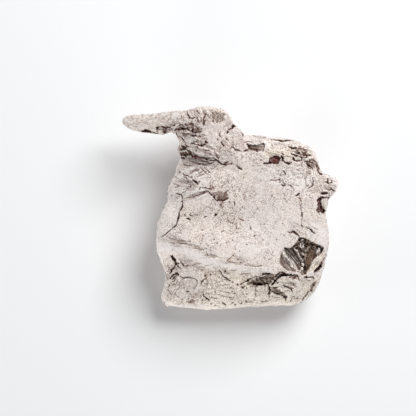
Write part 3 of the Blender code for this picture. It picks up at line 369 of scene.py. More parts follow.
# Patches: tint, strength, lift in millimetres, half width of the edge in squares, outline
PATCHES = [
    # slots at the left end of the crevice, and the ground under the fold
    ("crack", 1.0, -0.8, 0.5, [173, 146.2, 178, 145.4, 184.4, 146.2, 187.8, 149.4, 184, 150.2, 179, 150,
     173.4, 149.6]),
    ("crack", 0.64, -0.8, 0.5, [175.6, 152.8, 182, 152.6, 186, 152.2, 190, 153.2, 192.4, 155.4, 186, 156,
     180, 156.4, 176, 156]),
    ("crack", 0.7, -0.6, 0.5, [179.6, 158, 184, 157.4, 188.4, 157, 186, 158.8, 182, 159.6]),
    # painted shade: the ground under the fold is darkened with the stain colour, where the fold's shadow
    # falls
    ("stain", 0.28, -0.2, 1.2, [182, 159.5, 190, 157.6, 197, 159, 205, 160.6, 213, 161.8, 219, 165,
     215, 167.4, 205, 166, 196, 165.4, 189, 167, 183, 164]),
    ("rust", 0.9, -0.3, 0.7, [191.6, 156, 196, 156.2, 201, 157.4, 204.4, 159.2, 202, 160.4, 197, 159.4,
     192, 158.6]),
    # the armpit
    ("shade", 0.6, -0.6, 1.2, [179.6, 126, 183, 125.6, 186, 124.8, 192.6, 123.8, 194, 126.4, 196.4, 127.8,
     198.6, 129.2, 202.6, 129.6, 201.8, 133, 199, 134.4, 195.6, 133.6, 190.6, 132, 186, 130.8, 182, 131,
     178, 130.2]),
    ("crack", 0.5, -0.4, 0.9, [186, 125.2, 190, 124.8, 193.6, 124.6, 194, 126.4, 189, 127.4, 186, 127]),
    ("crack", 0.5, -0.4, 0.9, [182, 129.2, 187, 129, 187.4, 130.6, 183, 131.2]),
    # the notch under the arm
    ("crack", 0.9, -0.9, 0.5, [141.4, 132.8, 143, 131.2, 145.6, 129.9, 149.6, 130.3, 151.2, 131.8,
     152.2, 133.2, 150, 133.4, 146, 132.6, 143, 133.6]),
    ("tan", 0.3, 0.0, 4.0, [134, 118, 150, 117, 172, 117, 170, 123, 152, 128, 136, 126]),
    ("clean", 0.5, 0.0, 3.0, [124, 114, 150, 112, 180, 111, 178, 122, 160, 127, 140, 130, 126, 124]),
    # the pitted cheek of the lobe, and the smooth one beside it
    ("shade", 0.62, -0.25, 1.2, [211.4, 112.4, 215, 112.6, 222, 113.6, 224.2, 115.6, 223.4, 122, 219, 124.8,
     215, 123.8, 211.6, 122.4, 211, 118]),
    ("grey", 0.6, -0.2, 1.5, [224.6, 114, 228.4, 114.6, 230.2, 119, 231.8, 125, 228, 128.6, 225, 126]),
    ("mauve", 0.5, 0.3, 1.0, [229, 131.6, 233, 128.6, 237, 127.6, 241, 131, 242.4, 136, 236, 138.4,
     230, 138]),
    # pockets of the shelf: their brown ground is partly painted shade in the recesses
    ("shade", 0.82, -1.1, 0.9, [246.6, 145, 248.6, 147.2, 251.6, 145.8, 255, 146.4, 257, 145.1,
     259.6, 144.4, 262.8, 144.2, 264, 148, 263.2, 150.2, 260.6, 151.8, 256.6, 152.2, 252.8, 151.6,
     249.8, 150.6, 247.6, 149.2]),
    ("crack", 0.6, -0.5, 1.0, [246.6, 145.6, 249, 147.4, 252, 148.2, 254, 150, 259, 151, 256, 152,
     251.6, 151.4, 248.2, 149.4]),
    ("tan", 0.7, -0.1, 1.6, [266, 153.6, 273, 152.8, 281, 154, 280, 157, 272, 157, 266, 158]),
    ("rust", 1.4, -1.2, 0.9, [267.4, 161, 268.8, 158.4, 270.6, 158, 272.6, 156.4, 274.8, 156.9, 277, 158.2,
     279.6, 159.4, 278.6, 161.6, 277, 164.2, 273, 164.8, 269.6, 164, 267, 163.8]),
    ("crack", 0.7, -0.2, 1.0, [268, 162.4, 270, 162.8, 273, 163, 277.6, 163.4, 276.4, 165, 270, 164.6,
     266.8, 164]),
    ("tan", 1.0, -0.5, 1.2, [287.6, 150, 294, 149, 301, 147.8, 306, 149.4, 310.8, 152.6, 309, 154.4,
     300, 153.4, 295, 152.8, 290, 152.4]),
    ("stain", 0.85, -0.3, 1.4, [293, 150.4, 301, 148.8, 306, 150.6, 306, 153.4, 299, 153.4]),
    ("rust", 1.0, -0.1, 0.6, [298, 154.6, 305, 155, 309.4, 156.2, 306, 157, 299, 156]),
    ("shade", 0.78, -0.8, 1.2, [303.8, 163.4, 306, 161.4, 311.4, 160.2, 314.8, 161.6, 316, 165.4, 314, 168,
     311, 168.4, 309.4, 170, 307, 170.2, 305.6, 167.4]),
    ("bright", 0.6, 0.1, 1.5, [296.6, 166.4, 303, 166, 304, 172, 297.4, 173]),
    # painted highlight on the lit upper edge of the shelf
    ("bright", 0.6, 0.1, 1.2, [269, 141.6, 280, 142.8, 292, 142.4, 291, 144.4, 270, 143.8]),
    ("warm", 0.5, 0.0, 2.5, [264, 152, 290, 149, 310, 150, 312, 158, 290, 160, 264, 158]),
    # the recess under the knob
    ("rust", 0.9, -1.6, 0.6, [315.2, 199.6, 317, 198.4, 319.4, 197.6, 320.6, 199, 319.4, 201.6,
     320.4, 204.2, 321.3, 207.4, 323, 209.4, 324.8, 210.8, 323.2, 213.8, 320.2, 213, 317.2, 211.2,
     315.2, 209.4, 316.8, 207.6, 316.2, 203]),
    ("grey", 0.12, 0.0, 2.0, [328.6, 183, 333, 182, 336, 188, 333, 193.4, 328.6, 191]),
    # the brown stain in the middle
    ("stain", 1.2, -0.3, 1.0, [214.6, 195.6, 216.6, 193.6, 218.4, 191.4, 221.4, 191.6, 223, 193,
     226.4, 191.2, 226.2, 194, 228, 197.6, 226.6, 199.6, 224, 200.8, 221.6, 201.4, 218, 200.6,
     216.4, 198.4]),
    ("stain", 1.0, 0.0, 1.0, [218.6, 200.4, 224.6, 201, 223.2, 203.6, 221.4, 207, 219, 208.4,
     220.2, 204.4]),
    ("stain", 0.5, 0.0, 0.8, [228, 201, 231, 201.6, 230.4, 203.2, 228.2, 202.6]),
    ("stain", 0.4, 0.0, 1.0, [218.6, 186.4, 223, 186.6, 222, 189, 219.4, 188.8]),
    ("stain", 1.2, -0.2, 0.7, [208.4, 189.8, 209.4, 187.6, 210.6, 185, 212.4, 185.6, 213.6, 187.4,
     213.8, 189.2, 211.6, 190.4]),
    # folds of the fan
    ("mauve", 0.5, -0.2, 1.6, [176, 181, 186, 180, 189, 184, 184, 190, 176, 192]),
    ("mauve", 0.6, -0.3, 1.4, [189, 171.4, 198, 167.6, 206, 168, 201, 172, 192, 174]),
    ("tan", 0.5, -0.2, 1.2, [186, 197.4, 193, 196, 194, 198.6, 187, 199.6]),
    ("mauve", 0.4, -0.25, 1.8, [166, 236, 176, 237.4, 190, 240.6, 200, 244, 198, 247, 184, 243.6,
     172, 239.6]),
    # painted light: the left flank is painted lighter where the key light reaches it less
    ("bright", 0.7, 0.0, 4.0, [157, 196, 172, 193, 179, 204, 176, 224, 165, 238, 160, 250, 164, 270,
     168, 300, 160, 304, 152, 250, 153, 212]),
    ("bright", 0.8, 0.0, 5.0, [254, 168, 272, 167, 300, 170, 316, 180, 312, 192, 296, 190, 272, 184,
     256, 178]),
    # the smooth crest between the table and the lower band, and the facet above it
    # painted highlight: the crest is painted smooth and lighter
    ("clean", 1.0, 0.2, 2.2, [152, 234, 160, 240, 170, 243, 186, 247, 200, 251, 214, 257, 230, 263.4,
     246, 267, 272, 267, 272, 271, 250, 273, 230, 272, 212, 268, 196, 260, 180, 254, 164, 252, 154, 250]),
    # painted shade: the mauve strip on the slope under the crest
    ("mauve", 0.45, 0.0, 2.4, [180, 258, 198, 263, 212, 270, 228, 274, 250, 274, 240, 278, 222, 277,
     206, 273, 188, 266]),
    ("mauve", 0.25, 0.0, 3.0, [176, 262, 200, 266, 204, 290, 186, 300, 172, 296]),
    ("clean", 0.65, 0.0, 2.4, [179, 262, 198, 265, 200, 276, 198, 292, 184, 300, 172, 300, 176, 282,
     182, 272]),
    # the smooth pale lip, with a painted highlight along the right silhouette
    ("clean", 0.8, 0.15, 1.6, [304, 226, 316, 222, 326, 230, 331, 240, 330, 250, 324, 247, 314, 241,
     306, 236]),
    ("clean", 0.95, 0.0, 1.6, [329, 176, 339, 180, 342, 190, 334, 200, 330, 190]),
    ("clean", 0.8, 0.0, 2.0, [207, 126, 222, 126, 223, 138, 217, 150, 207, 142]),
    ("clean", 0.5, 0.0, 3.0, [168, 178, 182, 170, 200, 168, 214, 170, 210, 186, 208, 194, 190, 200,
     170, 200, 164, 192]),
    ("clean", 0.3, 0.0, 4.0, [246, 206, 290, 200, 296, 230, 280, 246, 262, 258, 240, 256, 230, 246,
     242, 226]),
    ("clean", 0.25, 0.0, 3.0, [274, 280, 296, 278, 304, 284, 303, 298, 286, 303, 272, 290]),
    ("mauve", 0.55, 0.0, 3.0, [208, 126, 230, 126, 244, 132, 246, 152, 222, 156, 207, 146]),
    # painted highlight: a pale rim along the lower silhouette
    ("clean", 0.9, 0.0, 1.4, [160, 298, 166, 303, 180, 305, 203, 306.4, 230, 306, 262, 304.6, 290, 303,
     302, 299.6, 308, 304, 290, 311, 225, 314, 160, 309]),
    ("warm", 0.3, 0.0, 3.0, [207, 126, 222, 126, 228, 138, 230, 150, 218, 154, 207, 146]),
    ("grey", 0.3, 0.0, 2.0, [203, 112, 224, 112, 226, 126, 222, 132, 208, 132, 203, 126]),
    ("clean", 0.6, 0.0, 2.0, [224, 112, 230, 114, 233, 126, 228, 128, 225, 120]),
    ("clean", 0.7, 0.1, 1.6, [229, 131, 236, 127, 242, 132, 241, 137, 232, 138]),
    # painted highlight: a pale rim along the left silhouette
    ("clean", 0.6, 0.0, 2.0, [152, 200, 160, 198, 164, 214, 160, 234, 152, 234]),
    ("tan", 0.5, -0.1, 0.9, [225.6, 260.8, 229, 258, 233, 254.2, 238.8, 259.4, 234, 260.6]),
    # painted highlight along the right end of the crest
    ("bright", 0.5, 0.1, 1.4, [240, 265.8, 252, 266.6, 266, 266.8, 266, 268.4, 250, 268.4, 240, 267.4]),
    # painted light: the lower band is painted lighter where it slopes away from the key light
    ("bright", 0.5, 0.0, 4.0, [200, 276, 246, 286, 270, 288, 284, 300, 276, 306, 206, 306, 198, 292]),
    # the lower left
    ("crack", 0.75, -1.1, 0.45, [170.2, 255, 172.6, 254.6, 174.6, 256.4, 176.2, 259, 177.2, 261.8,
     178.6, 262.6, 177, 264.8, 175.6, 264.2, 174.3, 261.6, 172.4, 258.6]),
    ("crack", 0.8, -0.9, 0.5, [175.2, 272.2, 177.6, 272.8, 178.9, 274.4, 176.9, 276, 175.8, 274.6]),
    ("grey", 0.25, -0.3, 1.0, [181, 279, 186, 278.2, 194, 278.4, 196.4, 281, 195.8, 286, 192, 288.4,
     185, 288, 181, 284.6]),
    ("stain", 1.0, -0.3, 0.8, [188.2, 302.2, 190.4, 300.8, 191.6, 298.6, 193.2, 298.8, 194.8, 301,
     194.6, 303.8, 192.2, 304.2]),
    ("stain", 0.45, -0.1, 1.2, [189, 293.4, 194, 294.4, 198.6, 291, 200, 290, 199.4, 297, 196.4, 301,
     194, 299, 192, 296]),
    ("mauve", 0.6, -0.1, 1.2, [211, 276, 217, 275.4, 218.4, 279, 214, 281, 211, 280]),
    # the cave under the ridge: its recess is darkened as painted shade, darkest along its floor
    ("shade", 0.95, -1.2, 1.6, [247, 281.6, 252, 279.6, 256, 278.6, 259, 276, 261.4, 273.8, 265, 273,
     271, 273.6, 277, 274.6, 275.4, 277.6, 272, 280, 270, 282.8, 266, 284.2, 258, 284.8, 252, 285,
     249, 283.6]),
    ("crack", 1.0, -1.2, 0.9, [252, 283.4, 257, 282.4, 262, 282.2, 266, 281.6, 270, 281.4, 269.6, 283,
     266.4, 284, 260, 284.7, 256, 284.6]),
    ("crack", 0.95, -1.6, 0.6, [271, 284.6, 271.8, 281.6, 274, 279, 276, 277.2, 278, 275.2, 280.2, 273.4,
     283, 272.4, 288, 273.2, 291.4, 273.7, 295.4, 274.4, 295, 275.7, 290, 275.2, 284, 275.6, 280, 275.9,
     277.6, 277.6, 275.6, 280.6, 273.2, 284]),
    ("rust", 0.8, -0.3, 0.8, [287.4, 275, 291, 275.4, 295, 275.4, 296, 277.8, 293, 278.8, 290.4, 277.8,
     288.2, 277]),
    ("bright", 0.9, 0.5, 0.6, [265.6, 283.4, 267, 283, 267.6, 284.6, 266.4, 285.2]),
    ("bright", 0.9, 0.5, 0.6, [269, 283, 270.6, 282.8, 271, 284.4, 269.6, 284.8]),
    ("bright", 0.9, 0.5, 0.6, [273, 283.4, 274.6, 283, 275, 284.6, 273.6, 285]),
    ("bright", 0.9, 0.5, 0.6, [276.4, 282.8, 278.4, 282.6, 278.6, 284.2, 277, 284.6]),
    ("crack", 0.9, -1.0, 0.5, [267.4, 284.6, 269, 285, 269.4, 287.8, 270.8, 290.4, 269.4, 290.6,
     268.2, 288]),
    ("shade", 0.85, -1.1, 1.3, [269.6, 289, 276, 289, 280, 290.6, 284, 293, 286, 295.6, 286.2, 299,
     284.4, 297, 281, 295, 276, 293.4, 270.4, 291.4]),
    ("shade", 0.35, -0.2, 1.0, [300.6, 279.6, 302.8, 280, 303.4, 285.6, 301, 285.4]),
    # the block at the pocket's lower corner, and the gaps round it
    ("bright", 1.0, 0.6, 0.6, [307.4, 271, 309.6, 269.8, 312.6, 271.4, 313.4, 273.6, 312.8, 275.8,
     309, 276.2, 306, 274.8, 306.2, 272.4]),
    ("bright", 0.7, 0.4, 0.7, [299, 276.8, 301.4, 275.9, 303.4, 277.4, 302.6, 279.4, 299.8, 279.2]),
    ("umber", 0.9, -0.8, 0.9, [321.4, 261.6, 322.6, 262, 322, 265, 321.2, 267, 318, 270.7, 315.4, 272.2,
     313.6, 273.4, 314.2, 270.8, 316.8, 267.4, 318.6, 264.4, 320, 262.4]),
    ("crack", 1.1, -1.0, 0.7, [320.6, 264.4, 321.4, 266.6, 319.4, 269, 316.4, 270.8, 313.6, 272.8,
     313.8, 270.6, 316, 268, 318.6, 266]),
    ("shade", 0.5, -0.3, 0.9, [315.4, 260.6, 317.6, 261, 317.8, 263.6, 315.6, 265.6, 314, 264]),
    ("bright", 0.7, 0.3, 0.8, [319, 256.6, 314.6, 259.6, 312.4, 262.4, 311, 266.4, 312.8, 266, 314.6, 262.4,
     318, 259.6]),
    ("bright", 0.5, 0.2, 0.8, [304.6, 281, 306, 283, 307, 288, 307.6, 290.6, 306, 288.6, 304.8, 285]),
    ("warm", 0.9, 0.0, 1.2, [308, 270, 309.6, 263, 313, 259.6, 320, 255, 323.6, 253, 321, 261, 316, 268,
     311, 271]),
    ("warm", 1.0, 0.0, 2.0, [270, 288, 276, 280, 281, 277, 297, 277, 304, 284, 303, 298, 286, 303,
     270, 302]),
    # painted light: the block is painted lighter where it slopes away from the key light
    ("bright", 1.0, 0.0, 2.5, [276, 280, 296, 278, 304, 284, 303, 298, 290, 302, 286, 292, 276, 289]),
    ("tan", 0.15, 0.0, 1.6, [278, 280, 286, 279, 294, 282, 296, 290, 288, 290, 280, 285]),
    # the crack with a warm filling at the lower right
    ("stain", 1.0, -0.9, 0.7, [316, 281.6, 315, 285.4, 313, 287.4, 312.4, 291.4, 309, 292.4, 310.4, 287,
     311.6, 283.8, 313.6, 282.6]),
    ("tan", 0.7, 0.0, 1.2, [313, 286, 316, 284.6, 316.4, 288.4, 313.4, 289.8]),
    ("tan", 0.7, -0.1, 1.2, [291, 295, 296, 294.4, 299, 297.4, 297, 302, 291, 302]),
    ("stain", 0.6, -0.25, 0.9, [249.4, 301, 252, 300.8, 253.4, 302.4, 251.6, 304.4, 249.6, 303.6]),
]

# Ledges, raised on their right-hand side: height in millimetres, reach in squares, points
LEDGES = [
    (0.9, 7, [221, 164, 216, 160, 206, 159.4, 196, 156, 190, 151.6, 185, 148]),
    (0.5, 6, [243, 170.6, 236, 166.8, 231, 164.6, 222, 164.8]),
    (0.35, 5, [198, 184.6, 193, 180.4, 186, 175.6]),
    (0.5, 5, [228.4, 198, 225, 200.8, 219, 201, 214.6, 199.4, 211, 195, 208, 191.6, 198, 195.8,
     188, 198.4]),
    (0.5, 4, [299, 237.4, 296.4, 234, 292, 231.8, 286, 231.8]),
    (0.45, 5, [314, 234, 311, 231, 307, 228, 303.6, 226.4]),
    (0.6, 5, [295.4, 141.9, 291.2, 139.9, 285, 141.4, 278, 141.2, 270.4, 139.7]),
    (0.45, 4, [312.6, 181, 310.6, 187, 308, 188.4, 303.4, 184.4]),
    (0.5, 5, [291, 163, 287, 164.8, 282, 162.2, 277.6, 164.8, 268, 164.4, 262.6, 164.8]),
    (0.45, 4, [205.4, 144, 203.6, 146.4, 196.4, 145.6, 191, 144.6]),
    (0.4, 4, [202, 133, 198.4, 134.4, 190, 132.2, 182, 131.2, 176, 131]),
    (0.35, 4, [201, 137.6, 194, 137.6, 190.8, 136.6]),
    (0.5, 5, [262, 273.2, 256, 275.8, 250, 278, 245, 281.4, 240, 283.4]),
    (0.45, 4, [230.4, 280.4, 224, 276, 221.4, 273, 218.6, 269.2]),
    (0.45, 4, [193.4, 289, 196.8, 285, 196.8, 280.4, 192, 277.4, 184, 277.8, 179, 275]),
    (0.4, 4, [208.6, 299.6, 204.4, 297.4, 203.2, 292]),
    (0.4, 4, [206.4, 277, 203.6, 273]),
    (0.35, 5, [178, 222, 179, 213, 182.7, 204, 181.7, 194.6]),
    (0.35, 4, [223.6, 147.8, 221, 143.6]),
    (0.35, 4, [309.8, 156.2, 302, 154.6, 293.4, 153]),
    (0.35, 3, [306, 158.4, 300.4, 158.4, 293.6, 156.8, 289.8, 154.4]),
]

# Bright raised lines, their brightness a painted highlight on lit edges: half width and height in
# millimetres, brightness, points
RIDGES = [
    (0.3, 0.3, 0.9, [170.4, 257, 172.6, 260.6, 174.8, 264.4]),
    (0.35, 0.3, 0.8, [175.2, 271.6, 177, 271, 179, 271.8]),
    (0.3, 0.3, 0.9, [202.6, 273.4, 203.6, 275, 204, 276.6]),
    (0.4, 0.25, 0.7, [197.6, 198.6, 202, 196.6, 207, 194.6]),
    (0.35, 0.3, 0.7, [287, 233.4, 291, 234.4, 295.4, 235.6]),
    (0.3, 0.3, 0.7, [297, 240, 294, 242.6, 290.6, 246]),
    (0.3, 0.3, 0.7, [299.6, 160, 301, 157.8, 302.2, 160.4]),
    (0.36, 0.5, 1.0, [175, 151, 180, 151.2, 184.6, 151.4]),
    (0.22, 0.3, 0.8, [178, 156.8, 183, 156.7, 188, 156.4]),
    (0.35, 0.4, 0.8, [277, 278.4, 280, 276.8, 286, 277, 291, 278.4, 297, 280]),
    (0.35, 0.3, 0.6, [272.4, 289.2, 277, 288.9, 282, 290.8, 286.6, 294]),
    (0.3, 0.3, 0.6, [222.6, 203, 225.6, 201.8, 228.6, 199.6]),
    (0.3, 0.3, 0.6, [262, 153.2, 257, 153.6, 250.6, 152.6]),
    (0.3, 0.3, 0.7, [266, 166, 272, 166.4, 279, 166]),
    (0.3, 0.3, 0.9, [293, 155, 297, 156, 301, 156.8, 306, 157]),
    (0.35, 0.35, 0.6, [317.4, 196, 321, 195.6, 327, 196.2]),
    (0.3, 0.3, 0.7, [307, 232.6, 303.4, 230, 301.8, 233.4]),
    (0.3, 0.4, 0.7, [319.6, 258, 316.6, 260.4, 314, 264.6, 312.4, 269.4]),
    (0.3, 0.4, 0.6, [320, 262.6, 317.6, 265.6, 315.4, 268.6]),
]

# Folds of the skin: outline, turn of the folds in degrees, spacing and depth in millimetres, strength of the
# painted highlight on their crests and painted shade in their valleys
FOLDS = [
    # the ground under the neck's fold, and the fan below it
    ([179, 163, 190, 157, 205, 160, 219, 165, 214, 169, 200, 168, 186, 170], 8, 1.3, 0.5, 0.85),
    ([187, 168, 203, 166, 217, 166, 216, 171, 204, 178, 196, 177, 185, 173], -35, 1.5, 0.5, 0.85),
    ([171, 177, 179, 171, 190, 175, 200, 184, 193, 187, 176, 187], 20, 1.6, 0.5, 0.85),
    ([167, 190, 180, 186, 196, 185, 209, 188, 209, 193, 196, 198, 184, 201,
     169, 199], -18, 1.7, 0.45, 0.85),
    ([205, 172, 220, 168, 236, 172, 226, 182, 210, 182], -20, 1.6, 0.15, 0.25),
    # the neck
    ([178, 132, 190, 133, 206, 135, 208, 143, 196, 143, 184, 143], 14, 1.1, 0.45, 0.6),
    ([184, 143, 206, 143, 222, 151, 224, 163, 208, 159, 192, 154, 185, 149], 22, 1.1, 0.4, 0.55),
    ([186, 109, 202, 108, 205, 116, 203, 127, 196, 126, 187, 118], 62, 1.2, 0.45, 0.65),
    ([203, 112, 212, 112, 213, 126, 204, 127], 85, 1.4, 0.3, 0.4),
    ([224, 113, 230, 114, 233, 125, 226, 129], 75, 1.2, 0.2, 0.4),
    ([208, 126, 226, 126, 228, 140, 222, 150, 208, 142], 70, 1.6, 0.15, 0.08),
    ([226, 130, 243, 134, 246, 150, 228, 154, 221, 144], 30, 1.3, 0.35, 0.5),
    ([160, 125, 180, 122, 188, 126, 180, 133, 162, 133], -4, 1.1, 0.4, 0.8),
    ([124, 114, 160, 113, 182, 112, 180, 123, 150, 129, 128, 127], 4, 1.3, 0.15, 0.2),
    # the shelf and the right
    ([254, 137, 292, 140, 300, 145, 270, 146, 250, 144], 4, 1.0, 0.3, 0.5),
    ([246, 145, 264, 144, 264, 152, 248, 152], 4, 0.9, 0.3, 0.6),
    ([264, 152, 282, 153, 290, 163, 268, 157], 20, 1.0, 0.3, 0.5),
    ([286, 149, 304, 147, 312, 153, 308, 159, 292, 160], 10, 0.9, 0.45, 0.85),
    ([302, 160, 317, 160, 316, 169, 305, 171], 40, 0.9, 0.3, 0.6),
    ([250, 166, 280, 166, 302, 172, 300, 188, 272, 186, 250, 178], 8, 1.6, 0.25, 0.35),
    ([300, 172, 318, 174, 326, 180, 322, 194, 306, 192], 65, 1.5, 0.3, 0.45),
    ([322, 178, 334, 178, 336, 190, 328, 198, 322, 196], 15, 1.0, 0.35, 0.7),
    ([314, 197, 322, 197, 326, 212, 318, 214], 75, 0.9, 0.5, 0.6),
    ([288, 222, 316, 222, 318, 238, 300, 238], 25, 1.5, 0.25, 0.4),
    ([306, 270, 309, 262, 315, 256, 323, 256, 322, 266, 314, 272], -58, 1.1, 0.4, 0.4),
    # the table's lower left corner and the ridge
    ([160, 236, 176, 236, 200, 243, 208, 250, 190, 249, 166, 243], 11, 1.0, 0.3, 0.75),
    ([196, 246, 220, 252, 262, 262, 262, 268, 226, 264, 198, 254], 9, 1.3, 0.2, 0.4),
    ([178, 256, 206, 262, 240, 269, 262, 269, 250, 277, 222, 276, 190, 270,
     178, 264], -12, 1.1, 0.3, 0.45),
    # the lower left
    ([165, 266, 177, 264, 180, 272, 172, 282, 165, 280], -50, 0.9, 0.5, 0.8),
    ([166, 280, 178, 276, 182, 288, 172, 298, 165, 296], -45, 0.9, 0.4, 0.7),
    ([180, 276, 196, 277, 198, 288, 188, 298, 180, 292], -30, 1.1, 0.2, 0.25),
    ([198, 270, 212, 270, 212, 286, 200, 290], 70, 1.0, 0.3, 0.4),
    ([214, 266, 234, 272, 232, 282, 218, 282], 40, 1.1, 0.35, 0.6),
    ([184, 290, 206, 288, 210, 304, 188, 305], -55, 1.1, 0.25, 0.35),
    ([206, 284, 246, 282, 248, 304, 210, 306], 2, 1.4, 0.2, 0.35),
    ([246, 284, 270, 284, 276, 306, 248, 306], -4, 1.6, 0.15, 0.2),
    # the cave and the block beside it
    ([244, 281, 256, 275, 266, 273, 277, 274, 270, 281, 256, 282], -24, 1.1, 0.35, 0.12),
    ([271, 284, 280, 276, 298, 277, 300, 290, 288, 297, 276, 290], 22, 1.4, 0.3, 0.15),
    ([268, 290, 284, 294, 286, 304, 270, 304], 10, 1.2, 0.2, 0.25),
    ([286, 290, 300, 288, 304, 300, 288, 304], -50, 1.1, 0.3, 0.6),
    ([300, 276, 314, 276, 314, 290, 304, 300, 300, 290], 66, 1.1, 0.35, 0.5),
]

# Gritty ground: strength and outline
GRIT = [
    (1.0, [180, 143, 196, 146, 206, 149, 216, 153, 224, 161, 216, 161, 204, 158, 190, 152]),
    (0.8, [176, 132, 190, 133, 206, 136, 206, 146, 188, 146, 180, 140]),
    (1.0, [178, 124, 194, 123, 204, 130, 201, 135, 190, 133, 176, 132]),
    (1.0, [210, 111, 223, 112, 225, 117, 223, 123, 212, 124]),
    (0.3, [123, 114, 160, 112, 190, 108, 208, 108, 206, 126, 180, 128, 150, 132, 128, 128]),
    (0.25, [206, 124, 232, 128, 246, 140, 246, 160, 222, 162, 206, 146]),
    (0.35, [244, 137, 300, 142, 318, 162, 336, 180, 334, 196, 318, 214, 304, 210, 308, 186, 268, 168,
     244, 164]),
    (0.25, [164, 262, 200, 266, 206, 300, 166, 304]),
    (0.6, [200, 276, 246, 284, 268, 284, 274, 306, 200, 306]),
    (0.6, [230, 180, 250, 196, 252, 232, 232, 240, 206, 226, 210, 204]),
    (0.5, [184, 210, 226, 210, 236, 240, 214, 246, 186, 236]),
]

# The inclusion's two banks, each a plane through three points: column, row, height in millimetres
LEFT_BANK = ((279, 262, 31.8), (284, 248, 32.0), (302, 262, 25.0))
RIGHT_BANK = ((303, 240, 28.5), (303, 270, 23.5), (323, 250, 25.0))

